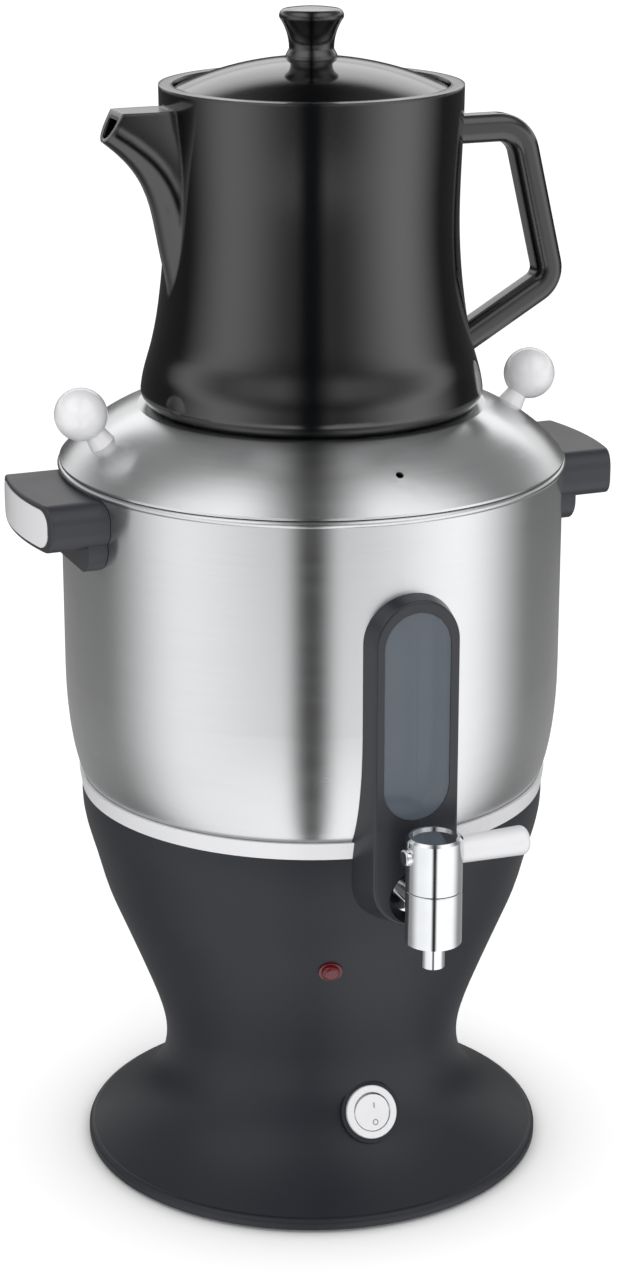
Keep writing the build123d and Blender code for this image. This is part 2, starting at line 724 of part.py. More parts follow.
with BuildPart() as heating_element:
    add(element_form(element_tube_r))
    with BuildSketch(Plane.XY.offset(element_z)):
        with PolarLocations(element_r, 2, start_angle=element_start, angular_range=element_arc, endpoint=True):
            Circle(pin_r)
    extrude(amount=-pin_l)
save(heating_element.part, "heating_element")

with BuildPart() as thermostat:
    with BuildSketch(Plane.XY.offset(plate_z)):
        Circle(thermostat_r)
    extrude(amount=-thermostat_h)
    chamfer(thermostat.edges().group_by(Axis.Z)[0], soft_edge)
    with BuildSketch(Plane.XY.offset(plate_z - thermostat_h)):
        with GridLocations(tab_space, 1, 2, 1):
            Rectangle(tab_sheet, tab_w)
    extrude(amount=-tab_l)
save(thermostat.part, "thermostat")

fuse_line = Plane(origin=(0, fuse_y, plate_z - fuse_r), x_dir=(0, 1, 0), z_dir=(1, 0, 0))
save(tube(fuse_line, fuse_r, 0, -fuse_l / 2, fuse_l / 2), "thermal_fuse")

with BuildPart() as fuse_clip:
    with BuildSketch(fuse_line):
        Circle(fuse_r + running + clip_sheet)
        with Locations((0, fuse_r - clip_sheet / 2)):
            Rectangle(2 * (fuse_r + clip_ear), clip_sheet)
        Circle(fuse_r + running, mode=Mode.SUBTRACT)
        with Locations((0, 2 * fuse_r)):
            Rectangle(6 * fuse_r, 2 * fuse_r, mode=Mode.SUBTRACT)
    extrude(amount=clip_w / 2, both=True)
save(fuse_clip.part, "fuse_clip")

# ------------------------------------------------------------------ outlet elbow
with BuildPart() as outlet_elbow:
    with BuildSketch(Plane.XY.offset(vessel_z)):
        with Locations((0, elbow_y)):
            Circle(elbow_flange_r)
    extrude(amount=-elbow_flange_t)
    with BuildSketch(Plane.XY.offset(vessel_z)):
        with Locations((0, elbow_y)):
            Circle(elbow_r)
    extrude(amount=stem_z - vessel_z)
    with Locations((0, elbow_y, stem_z)):
        Sphere(socket_r)
    with BuildSketch(stem_line.offset(-elbow_y)):
        Circle(socket_r)
    extrude(amount=elbow_y - pad_y - nut_t)
    with BuildSketch(Plane.XY.offset(vessel_z)):
        with Locations((0, elbow_y)):
            Circle(elbow_bore_r)
    extrude(amount=stem_z - vessel_z, mode=Mode.SUBTRACT)
    with Locations((0, elbow_y, stem_z)):
        Sphere(elbow_bore_r, mode=Mode.SUBTRACT)
    with BuildSketch(stem_line.offset(-elbow_y)):
        Circle(elbow_bore_r)
    extrude(amount=elbow_y - stem_end_y, mode=Mode.SUBTRACT)
    with BuildSketch(stem_line.offset(-stem_end_y)):
        Circle(stem_r + running)
    extrude(amount=4 * nut_t, mode=Mode.SUBTRACT)
save(outlet_elbow.part, "outlet_elbow")

# ------------------------------------------------------------------ tap
tap_axis = Plane(origin=(0, tap_y, 0))
plug_top_z = tap_seam_z - seam_gap / 2
lever_line = Plane(origin=(0, tap_y, lever_z), x_dir=(0, 1, 0), z_dir=(1, 0, 0))

with BuildPart() as tap_body:
    with BuildSketch(tap_axis.offset(tap_low_z)):
        Circle(tap_r)
    extrude(amount=plug_top_z - tap_low_z)
    chamfer(tap_body.edges().group_by(Axis.Z)[0], length=tap_cone_h, length2=tap_r - nozzle_r - soft_edge)
    fillet(tap_body.edges().group_by(Axis.Z)[-1], trace_edge)
    with BuildSketch(tap_axis.offset(nozzle_low_z)):
        Circle(nozzle_r)
    extrude(amount=tap_low_z + tap_cone_h - nozzle_low_z)
    with BuildSketch(stem_line.offset(-tap_y - tap_r / 2)):
        Circle(stem_r)
    extrude(amount=tap_y + tap_r / 2 - stem_end_y)
    with BuildSketch(stem_line.offset(gasket_t - recess_y)):
        Circle(stem_flange_r)
    extrude(amount=stem_flange_t)
    with BuildSketch(tap_axis.offset(plug_low_z)):
        Circle(plug_r + running)
    extrude(amount=tap_seam_z - plug_low_z, mode=Mode.SUBTRACT)
    with BuildSketch(tap_axis.offset(nozzle_low_z)):
        Circle(water_r)
    extrude(amount=plug_low_z - nozzle_low_z, mode=Mode.SUBTRACT)
    with BuildSketch(stem_line.offset(-stem_end_y)):
        Circle(water_r)
    extrude(amount=stem_end_y - tap_y, mode=Mode.SUBTRACT)
save(tap_body.part, "tap_body")

save(tube(stem_line, gasket_r, stem_r + snug, -recess_y, gasket_t - recess_y), "tap_gasket")

with BuildPart() as tap_nut:
    with BuildSketch(stem_line.offset(-pad_y)):
        RegularPolygon(nut_af / 2, 6, major_radius=False)
        Circle(stem_r + snug, mode=Mode.SUBTRACT)
    extrude(amount=-nut_t)
save(tap_nut.part, "tap_nut")

with BuildPart() as tap_plug:
    with BuildSketch(tap_axis.offset(plug_low_z + running)):
        Circle(plug_r)
    extrude(amount=plug_top_z - plug_low_z - running)
    with BuildSketch(tap_axis.offset(plug_low_z)):
        Circle(spindle_r)
    extrude(amount=spindle_top_z - plug_low_z)
    with BuildSketch(tap_axis.offset(plug_low_z)):
        Circle(plug_r + running)
    extrude(amount=running, mode=Mode.SUBTRACT)
    # water way: in at the side, out at the bottom
    with BuildSketch(tap_axis.offset(plug_low_z)):
        Circle(water_r)
    extrude(amount=stem_z - plug_low_z, mode=Mode.SUBTRACT)
    with BuildSketch(Plane(origin=(0, tap_y, stem_z), x_dir=(0, 1, 0), z_dir=(-1, 0, 0))):
        Circle(water_r)
    extrude(amount=plug_r + running, mode=Mode.SUBTRACT)
    # grooves for the o-rings
    for height in o_ring_z:
        with BuildSketch(tap_axis.offset(height - o_ring_r)):
            Circle(plug_r + running)
            Circle(plug_r - 2 * o_ring_r, mode=Mode.SUBTRACT)
        extrude(amount=2 * o_ring_r, mode=Mode.SUBTRACT)
    with BuildSketch(lever_line.offset(-tap_r)):
        Circle(pin_shank_r + running)
    extrude(amount=2 * tap_r, mode=Mode.SUBTRACT)
save(tap_plug.part, "tap_plug")

with BuildPart() as tap_o_rings:
    with Locations([(0, tap_y, height) for height in o_ring_z]):
        Torus(plug_r - o_ring_r, o_ring_r)
save(tap_o_rings.part, "tap_o_rings")

with BuildPart() as tap_cap:
    with BuildSketch(tap_axis.offset(tap_seam_z + seam_gap / 2)):
        Circle(tap_r)
    extrude(amount=tap_top_z - tap_seam_z - seam_gap / 2)
    chamfer(tap_cap.edges().group_by(Axis.Z)[-1], tap_edge)
    with BuildSketch(tap_axis.offset(tap_top_z)):
        Circle(tap_r - 2 * tap_edge)
    extrude(amount=-cap_dish, mode=Mode.SUBTRACT)
    with BuildSketch(tap_axis.offset(tap_seam_z)):
        Circle(cap_hollow_r)
    extrude(amount=cap_hollow_z - tap_seam_z, mode=Mode.SUBTRACT)
    with BuildSketch(tap_axis.offset(tap_seam_z)):
        Circle(spindle_r + running)
    extrude(amount=spindle_top_z + running - tap_seam_z, mode=Mode.SUBTRACT)
    with BuildSketch(lever_line.offset(-tap_r)):
        Circle(pin_shank_r + running)
    extrude(amount=2 * tap_r, mode=Mode.SUBTRACT)
save(tap_cap.part, "tap_cap")

with BuildPart() as tap_lever:
    with BuildSketch(lever_line.offset(tap_r / 2)):
        Circle(lever_root_r)
    with BuildSketch(lever_line.offset(lever_l)):
        Circle(lever_tip_r)
    loft()
    fillet(tap_lever.edges().group_by(Axis.X)[-1], lever_round)
    with BuildSketch(tap_axis.offset(lever_z - tap_r)):
        Circle(tap_r + running)
    extrude(amount=2 * tap_r, mode=Mode.SUBTRACT)
    with BuildSketch(lever_line):
        Circle(pin_shank_r + running)
    extrude(amount=pin_end_x + snug, mode=Mode.SUBTRACT)
save(tap_lever.part, "tap_lever")

with BuildPart() as lever_pin:
    with BuildSketch(lever_line.offset(-tap_r - pin_head_t)):
        Circle(pin_head_r)
    extrude(amount=2 * pin_head_t)
    fillet(lever_pin.edges().group_by(Axis.X)[0], fine_edge)
    with BuildSketch(tap_axis.offset(lever_z - tap_r)):
        Circle(tap_r + running)
    extrude(amount=2 * tap_r, mode=Mode.SUBTRACT)
    with BuildSketch(lever_line.offset(-tap_r - pin_head_t / 2)):
        Circle(pin_shank_r)
    extrude(amount=tap_r + pin_head_t / 2 + pin_end_x)
save(lever_pin.part, "lever_pin")

# ------------------------------------------------------------------ level gauge
gauge_front = Plane(origin=(0, gauge_y, 0), x_dir=(1, 0, 0), z_dir=(0, -1, 0))

with BuildPart() as gauge_frame:
    with BuildSketch(gauge_front):
        upright_slot(gauge_half_w, gauge_low_z, gauge_top_z)
    extrude(amount=-gauge_deep, taper=-gauge_draft)
    fillet(gauge_frame.edges().group_by(Axis.Y)[0], gauge_edge)
    for form in (base_form(hug), collar_form(hug), vessel_form(hug)):
        add(form, mode=Mode.SUBTRACT)
    # window opening, the window's seat and the chamber behind it
    with BuildSketch(gauge_front):
        upright_slot(window_half_w, window_low_z, window_top_z)
    extrude(amount=-gauge_deep, mode=Mode.SUBTRACT)
    with BuildSketch(gauge_front.offset(-window_sink - window_pane)):
        upright_slot(chamber_half_w, chamber_low_z, chamber_top_z)
    extrude(amount=-gauge_deep, mode=Mode.SUBTRACT)
    # round recess and passage for the tap's stem
    with BuildSketch(stem_line.offset(-recess_y)):
        Circle(recess_r)
    extrude(amount=2 * recess_r, mode=Mode.SUBTRACT)
    with BuildSketch(stem_line.offset(-pad_y)):
        Circle(stem_r + screw_play)
    extrude(amount=2 * recess_r, mode=Mode.SUBTRACT)
save(gauge_frame.part, "gauge_frame")

with BuildPart() as gauge_window:
    with BuildSketch(gauge_front.offset(-window_sink)):
        upright_slot(window_half_w - snug, window_low_z + snug, window_top_z - snug)
    extrude(amount=-window_pane)
    with BuildSketch(gauge_front.offset(-window_sink - window_pane)):
        upright_slot(window_half_w + window_ledge, window_low_z - window_ledge, window_top_z + window_ledge)
    extrude(amount=-window_flange)
save(gauge_window.part, "gauge_window")

tube_axis = Plane(origin=(0, tube_y, 0))
tube_low_z = fitting_low_z + fitting_half_h - tube_grip
tube_top_z = fitting_top_z - fitting_half_h + tube_grip
save(tube(tube_axis, tube_r, tube_r - tube_wall, tube_low_z, tube_top_z), "gauge_tube")

with BuildPart() as gauge_fittings:
    with BuildSketch(stem_line.offset(vessel_r - curve_r)):
        with Locations((0, fitting_low_z - stem_z), (0, fitting_top_z - stem_z)):
            RectangleRounded(2 * fitting_half_w, 2 * fitting_half_h, soft_edge)
    extrude(amount=-fitting_front_y - vessel_r + curve_r)
    add(vessel_form(0), mode=Mode.SUBTRACT)
    for port in ports:
        with BuildSketch(port.offset(tube_r)):
            Circle(nipple_r)
        extrude(amount=-nipple_l - tube_r)
    with BuildSketch(tube_axis.offset(tube_low_z)):
        Circle(tube_r + snug)
    extrude(amount=tube_top_z - tube_low_z, mode=Mode.SUBTRACT)
    for port in ports:
        with BuildSketch(port.offset(tube_r)):
            Circle(port_r)
        extrude(amount=-nipple_l - 2 * tube_r, mode=Mode.SUBTRACT)
save(gauge_fittings.part, "gauge_fittings")

seal_low = -vessel_wall - gauge_seal_r**2 / (vessel_r - curve_r) / 2 - gauge_seal_t
with BuildPart() as gauge_seals:
    for port in ports:
        add(tube(port, gauge_seal_r, nipple_r + snug, seal_low, seal_low + gauge_seal_t))
save(gauge_seals.part, "gauge_seals")

with BuildPart() as gauge_nuts:
    for port in ports:
        with BuildSketch(port.offset(seal_low)):
            RegularPolygon(gauge_nut_af / 2, 6, major_radius=False)
            Circle(nipple_r + snug, mode=Mode.SUBTRACT)
        extrude(amount=-gauge_nut_t)
save(gauge_nuts.part, "gauge_nuts")

# ------------------------------------------------------------------ handles
def insert_form(outward, growth, low_r, high_r):
    """Rounded plate bent to the handle's face, between two radii."""
    with BuildPart() as form:
        with BuildSketch(outward):
            with Locations((0, handle_mid_z)):
                RectangleRounded(insert_w + 2 * growth, insert_h + 2 * growth, insert_round + growth)
        extrude(amount=high_r)
        with BuildSketch():
            Circle(high_r)
            Circle(low_r, mode=Mode.SUBTRACT)
        extrude(amount=rim_z, mode=Mode.INTERSECT)
    return form.part


for side, angle in (("left", 180), ("right", 0)):
    outward = facing(angle, 0, 0)
    pocket_r = handle_out_r + insert_proud - insert_t
    with BuildPart() as handle:
        with BuildSketch(outward):
            with Locations((0, handle_mid_z)):
                RectangleRounded(2 * handle_half_w, handle_top_z - handle_low_z, handle_round)
        extrude(amount=handle_out_r)
        with BuildSketch():
            Circle(handle_out_r)
        extrude(amount=rim_z, mode=Mode.INTERSECT)
        fillet(handle.faces().sort_by(Axis((0, 0, 0), outward.z_dir))[-1].edges(), handle_edge)
        with BuildSketch(outward):
            with Locations((0, (tab_low_z + handle_mid_z) / 2)):
                RectangleRounded(2 * tab_half_w, handle_mid_z - tab_low_z, tab_round)
        extrude(amount=vessel_r + tab_t)
        add(vessel_form(hug), mode=Mode.SUBTRACT)
        add(insert_form(outward, snug, pocket_r, 2 * handle_out_r), mode=Mode.SUBTRACT)
        for screw_angle in (angle - handle_screw_angle, angle + handle_screw_angle):
            with BuildSketch(facing(screw_angle, vessel_r, handle_mid_z)):
                Circle(handle_screw_r + snug)
            extrude(amount=handle_screw_l, mode=Mode.SUBTRACT)
    save(handle.part, f"handle_{side}")
    save(insert_form(outward, 0, pocket_r, handle_out_r + insert_proud), f"handle_insert_{side}")

seal_out_r = vessel_r - vessel_wall - snug
with BuildPart() as handle_screws:
    for angle in handle_screws_at:
        inside_seal = -facing(angle, seal_out_r - seal_t, handle_mid_z)
        add(screw(inside_seal, handle_head_r, handle_head_t, handle_screw_r, handle_screw_l))
save(handle_screws.part, "handle_screws")

with BuildPart() as handle_screw_seals:
    for angle in handle_screws_at:
        add(tube(facing(angle, seal_out_r, handle_mid_z), seal_r, handle_screw_r + snug, -seal_t, 0))
save(handle_screw_seals.part, "handle_screw_seals")

# ------------------------------------------------------------------ lid
with BuildPart() as lid:
    with BuildSketch(Plane.XZ):
        with BuildLine():
            add(dome)
            under = Spline(*[point for point in beside(dome, lid_t, 25) if point.X < skirt_r - lid_t])
            Polyline(
                under @ 0,
                ((under @ 0).X, lid_z - skirt_h),
                (skirt_r, lid_z - skirt_h),
                (skirt_r, lid_z),
                (lid_edge_r, lid_z),
                dome @ 0,
            )
            Polyline(
                dome @ 1,
                (lid_hole_r, land_z),
                (lid_hole_r, land_z - lid_collar_h),
                (lid_hole_r + lid_t, land_z - lid_collar_h),
                (lid_hole_r + lid_t, land_z - lid_t),
                under @ 1,
            )
        make_face()
    revolve(axis=Axis.Z)
    with BuildSketch(on_lid(-90)):
        Circle(steam_hole_r)
    extrude(amount=3 * lid_t, both=True, mode=Mode.SUBTRACT)
    for angle in (0, 180):
        with BuildSketch(on_lid(angle)):
            Circle(ball_screw_r + snug)
        extrude(amount=3 * lid_t, both=True, mode=Mode.SUBTRACT)
save(lid.part, "lid")

for side, angle in (("left", 180), ("right", 0)):
    with BuildPart() as knob:
        with BuildSketch(on_lid(angle).offset(-2 * lid_t)):
            Circle(ball_foot_r)
        with BuildSketch(on_lid(angle).offset(ball_stand - ball_r + soft_edge)):
            Circle(ball_neck_r)
        loft()
        with Locations(on_lid(angle).offset(ball_stand)):
            Sphere(ball_r)
        add(lid_form(), mode=Mode.SUBTRACT)
        with BuildSketch(on_lid(angle).offset(-lid_t)):
            Circle(ball_screw_r + snug)
        extrude(amount=ball_screw_l + lid_t, mode=Mode.SUBTRACT)
    save(knob.part, f"lid_knob_{side}")

with BuildPart() as lid_knob_screws:
    for angle in (0, 180):
        under_lid = -on_lid(angle).offset(-lid_t - snug)
        add(screw(under_lid, ball_head_r, ball_head_t, ball_screw_r, ball_screw_l))
save(lid_knob_screws.part, "lid_knob_screws")

# ------------------------------------------------------------------ teapot
with BuildPart() as pot_form:
    with BuildSketch(Plane.XZ):
        with BuildLine():
            add(pot_side)
            Polyline(pot_side @ 1, (0, pot_rim_z), (0, pot_z), (pot_foot_out_r, pot_z))
            TangentArc(pot_side @ 0, (pot_foot_out_r, pot_z), tangent=(pot_side % 0) * -1)
        make_face()
    revolve(axis=Axis.Z)

with BuildPart() as pot_hollow:
    with BuildSketch(Plane.XZ):
        with BuildLine():
            within = Spline(*beside(pot_side, pot_wall))
            Polyline(within @ 1, (0, pot_rim_z), (0, (within @ 0).Y), within @ 0)
        make_face()
    revolve(axis=Axis.Z)
    split(bisect_by=Plane.XY.offset(pot_ledge_z - pot_ledge_t), keep=Keep.BOTTOM)
    fillet(pot_hollow.edges().group_by(Axis.Z)[0], 1.5 * pot_wall)


def spout_form(inset, low_z, top_z):
    """Spout as a solid through upright rings, drawn in by a distance."""
    with BuildPart() as form:
        for height, tip, half_width in spout_rings:
            with BuildSketch(Plane.XY.offset(min(max(height, low_z), top_z))):
                with Locations(((spout_root_x + tip + inset) / 2, 0)):
                    Ellipse((spout_root_x - tip - inset) / 2, half_width - inset)
        loft()
    return form.part


with BuildPart() as spout_channel:
    add(spout_form(spout_wall, spout_low_z, spout_top_z - spout_wall))
    add(pot_form.part, mode=Mode.SUBTRACT)

with BuildPart() as handle_sweep:
    with BuildLine():
        grip = FilletPolyline(*[(x, 0, z) for x, z in grip_corners], radius=grip_bends)
    with BuildSketch(Plane(origin=grip @ 0, x_dir=(0, 1, 0), z_dir=grip % 0)):
        RectangleRounded(pot_handle_w, pot_handle_t, pot_handle_round)
    sweep(path=grip)

with BuildPart() as teapot_body:
    add(pot_form.part)
    add(spout_form(0, spout_low_z, spout_top_z))
    split(bisect_by=mouth_plane, keep=Keep.BOTTOM)
    add(handle_sweep.part)
    add(pot_hollow.part, mode=Mode.SUBTRACT)
    add(spout_channel.part, mode=Mode.SUBTRACT)
    with BuildSketch(Plane.XY.offset(pot_ledge_z - 2 * pot_ledge_t)):
        Circle(pot_ledge_r)
    extrude(amount=4 * pot_ledge_t, mode=Mode.SUBTRACT)
    with BuildSketch(Plane.XY.offset(pot_ledge_z)):
        Circle(pot_seat_r)
    extrude(amount=4 * pot_ledge_t, mode=Mode.SUBTRACT)
    with BuildSketch(Plane.XY.offset(pot_z)):
        Circle(pot_foot_in_r)
    extrude(amount=pot_foot_h, mode=Mode.SUBTRACT)
    with BuildSketch(Plane(origin=(-pot_waist_r + 2 * pot_wall, 0, strainer_z), x_dir=(0, 1, 0), z_dir=(-1, 0, 0))):
        with GridLocations(strainer_pitch, strainer_pitch, 3, 6):
            Circle(strainer_r)
    extrude(amount=3 * pot_wall, mode=Mode.SUBTRACT)
save(teapot_body.part, "teapot_body")

pot_lid_z = pot_ledge_z + lift_gap
pot_lid_r = pot_seat_r - pot_lid_play
pot_lid_apex = pot_lid_z + pot_lid_edge_h + pot_lid_rise
with BuildPart() as teapot_lid:
    with BuildSketch(Plane.XZ):
        with BuildLine():
            TangentArc((0, pot_lid_apex), (pot_lid_r, pot_lid_z + pot_lid_edge_h), tangent=(1, 0))
            Polyline(
                (pot_lid_r, pot_lid_z + pot_lid_edge_h),
                (pot_lid_r, pot_lid_z),
                (pot_lid_skirt_r, pot_lid_z),
                (pot_lid_skirt_r, pot_lid_z - pot_lid_skirt_h),
                (pot_lid_skirt_r - pot_lid_skirt_t, pot_lid_z - pot_lid_skirt_h),
                (pot_lid_skirt_r - pot_lid_skirt_t, pot_lid_z + pot_lid_edge_h),
            )
            TangentArc(
                (0, pot_lid_apex - pot_lid_t),
                (pot_lid_skirt_r - pot_lid_skirt_t, pot_lid_z + pot_lid_edge_h),
                tangent=(1, 0),
            )
            Line((0, pot_lid_apex - pot_lid_t), (0, pot_lid_apex))
        make_face()
    revolve(axis=Axis.Z)
    lid_side = teapot_lid.faces().filter_by(GeomType.CYLINDER).sort_by(SortBy.AREA)[-1]
    fillet(lid_side.edges().sort_by(Axis.Z)[-1], fine_edge)
    with BuildSketch(Plane.XZ):
        with BuildLine():
            Polyline(
                (0, pot_lid_apex - knob_sunk),
                (knob_foot_r, pot_lid_apex - knob_sunk),
                (knob_foot_r, pot_lid_apex + knob_neck_h / 4),
                (knob_neck_r, pot_lid_apex + knob_neck_h),
            )
            flare = TangentArc(
                (knob_neck_r, pot_lid_apex + knob_neck_h),
                (knob_top_r, pot_lid_apex + knob_edge_h),
                tangent=(0, 1),
            )
            crown = TangentArc(
                (0, pot_lid_apex + knob_h),
                (knob_top_r - knob_crown_in, pot_lid_apex + knob_h - knob_crown_drop),
                tangent=(1, 0),
            )
            Spline(flare @ 1, crown @ 1, tangents=[(0.2, 1), (-1, 0.2)])
            Line((0, pot_lid_apex + knob_h), (0, pot_lid_apex - knob_sunk))
        make_face()
    revolve(axis=Axis.Z)
save(teapot_lid.part, "teapot_lid")
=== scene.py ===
"""Looks of an electric samovar with its teapot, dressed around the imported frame.

Every length is in metres in the frame's own coordinates: +Z is up, the tap faces -Y and
the two handles point along X.
"""

import json
import logging
import math
import sys
from dataclasses import dataclass
from enum import Enum
import bmesh  # noqa: E402
import bpy  # noqa: E402
from mathutils import Matrix, Vector  # noqa: E402


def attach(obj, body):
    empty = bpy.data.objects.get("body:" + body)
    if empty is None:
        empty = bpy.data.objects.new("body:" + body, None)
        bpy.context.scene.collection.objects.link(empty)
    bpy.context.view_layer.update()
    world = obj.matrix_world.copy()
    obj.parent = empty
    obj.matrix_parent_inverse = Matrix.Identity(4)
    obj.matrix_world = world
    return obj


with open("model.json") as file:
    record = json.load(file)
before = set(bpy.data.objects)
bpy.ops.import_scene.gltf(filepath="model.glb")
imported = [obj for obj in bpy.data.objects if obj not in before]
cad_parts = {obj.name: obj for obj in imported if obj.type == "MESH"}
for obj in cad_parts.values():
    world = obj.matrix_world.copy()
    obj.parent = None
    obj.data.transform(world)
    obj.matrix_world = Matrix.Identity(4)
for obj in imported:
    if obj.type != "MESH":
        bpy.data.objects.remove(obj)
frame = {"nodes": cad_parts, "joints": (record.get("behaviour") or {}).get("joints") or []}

LOG = logging.getLogger("samovar")
MM = 0.001

# the node kinds that come up most
MATH = "ShaderNodeMath"
VECTOR_MATH = "ShaderNodeVectorMath"
RANGE = "ShaderNodeMapRange"
NOISE = "ShaderNodeTexNoise"
# settings of a range whose ends run out softly
SOFT = {"interpolation_type": "SMOOTHSTEP"}
# nearly all of a noise's values lie between these
NOISE_ENDS = (0.25, 0.75)
# vertices closer than this are one, and edges that turn by more degrees than this stay sharp
SAME_PLACE = 0.0001 * MM
SHARP_FROM = 30.0


# ---------------------------------------------------------------- small helpers
def linear(colour: str) -> tuple[float, float, float, float]:
    """Turns an sRGB hex colour into the linear one that shaders take.

    Args:
        colour: six hex digits after a hash sign.

    Returns:
        Red, green, blue and an alpha of 1.
    """
    channels = [int(colour[i : i + 2], 16) / 255 for i in (1, 3, 5)]
    bent = [c / 12.92 if c <= 0.04045 else ((c + 0.055) / 1.055) ** 2.4 for c in channels]
    return (bent[0], bent[1], bent[2], 1.0)


def add_node(
    tree: bpy.types.NodeTree,
    kind: str,
    links: dict[str, object] | tuple[object, ...] = (),
    **settings: object,
) -> bpy.types.Node:
    """Adds a node with its settings and links.

    Args:
        tree: the node tree that gets it.
        kind: the node's Blender type.
        links: a value for each input, or the output socket that feeds it, by the inputs' names
            or, in a tuple, in the inputs' order.
        settings: properties of the node itself.

    Returns:
        The new node.
    """
    made = tree.nodes.new(kind)
    for name, value in settings.items():
        setattr(made, name, value)
    for key, value in links.items() if isinstance(links, dict) else enumerate(links):
        if isinstance(value, bpy.types.NodeSocket):
            tree.links.new(value, made.inputs[key])
        else:
            made.inputs[key].default_value = value
    return made


# ---------------------------------------------------------------- finishes
@dataclass(frozen=True)
class Finish:
    """What every finish shares: a name, a colour and how rough it is."""

    name: str
    colour: str
    roughness: float

    def start(self, **sockets: object) -> tuple[bpy.types.Material, bpy.types.NodeTree, bpy.types.Node]:
        """Makes the material with its main shader.

        Args:
            sockets: values of the shader's own sockets, with spaces written as underscores.

        Returns:
            The material, its node tree and the shader.
        """
        material = bpy.data.materials.new(self.name)
        material.use_nodes = True
        tree = material.node_tree
        tree.nodes.clear()
        shader = add_node(
            tree, "ShaderNodeBsdfPrincipled", {"Base Color": linear(self.colour), "Roughness": self.roughness}
        )
        for key, value in sockets.items():
            shader.inputs[key.replace("_", " ")].default_value = value
        add_node(tree, "ShaderNodeOutputMaterial", {"Surface": shader.outputs[0]})
        material.diffuse_color = linear(self.colour)
        return material, tree, shader

    def shade(
        self, tree: bpy.types.NodeTree, shader: bpy.types.Node, pattern: bpy.types.NodeSocket, amount: float
    ) -> None:
        """Varies the colour's brightness with a pattern.

        Args:
            tree: the material's node tree.
            shader: the main shader.
            pattern: values around one half.
            amount: share of the brightness that the highest value adds and the lowest takes.
        """
        value = add_node(tree, RANGE, (pattern, *NOISE_ENDS, 1 - amount, 1 + amount))
        mixed = add_node(
            tree, "ShaderNodeHueSaturation", {"Value": value.outputs[0], "Color": linear(self.colour)}
        )
        tree.links.new(mixed.outputs[0], shader.inputs["Base Color"])

    def gloss(
        self, tree: bpy.types.NodeTree, shader: bpy.types.Node, pattern: bpy.types.NodeSocket, spread: float
    ) -> None:
        """Varies the roughness with a pattern.

        Args:
            tree: the material's node tree.
            shader: the main shader.
            pattern: values around one half.
            spread: roughness that the highest value adds and the lowest takes.
        """
        ends = (self.roughness - spread, self.roughness + spread)
        value = add_node(tree, RANGE, (pattern, *NOISE_ENDS, *ends))
        tree.links.new(value.outputs[0], shader.inputs["Roughness"])

    def relief(
        self, tree: bpy.types.NodeTree, shader: bpy.types.Node, height: bpy.types.NodeSocket, depth: float
    ) -> bpy.types.Node:
        """Gives the surface a fine relief.

        Args:
            tree: the material's node tree.
            shader: the main shader.
            height: pattern of heights from 0 to 1.
            depth: how deep the relief is at full height.

        Returns:
            The bump node.
        """
        bump = add_node(tree, "ShaderNodeBump", {"Height": height, "Strength": 1.0, "Distance": depth})
        tree.links.new(bump.outputs[0], shader.inputs["Normal"])
        return bump


@dataclass(frozen=True)
class MouldedPlastic(Finish):
    """Injection-moulded plastic or rubber: its mould leaves an even grain and a faint mottle.

    A real mould grain is about 0.1 mm wide. It is drawn coarser here, so that it shows.
    """

    grain: float = 0.9 * MM
    depth: float = 0.01 * MM
    cloud: float = 38 * MM
    mottle: float = 0.05
    spread: float = 0.04
    coat: float = 0.0
    shine: float = 0.5

    def build(self) -> bpy.types.Material:
        """Makes the material.

        Returns:
            The material, with a mottle as wide as the cloud over the grain.
        """
        material, tree, shader = self.start(
            Coat_Weight=self.coat, Coat_Roughness=0.08, Specular_IOR_Level=self.shine
        )
        place = add_node(tree, "ShaderNodeTexCoord").outputs["Object"]
        cloud = add_node(tree, NOISE, {"Vector": place, "Scale": 1 / self.cloud, "Detail": 3.0})
        grain = add_node(tree, NOISE, {"Vector": place, "Scale": 1 / self.grain, "Detail": 2.0})
        self.shade(tree, shader, cloud.outputs[0], self.mottle)
        self.gloss(tree, shader, cloud.outputs[0], self.spread)
        self.relief(tree, shader, grain.outputs[0], self.depth)
        return material


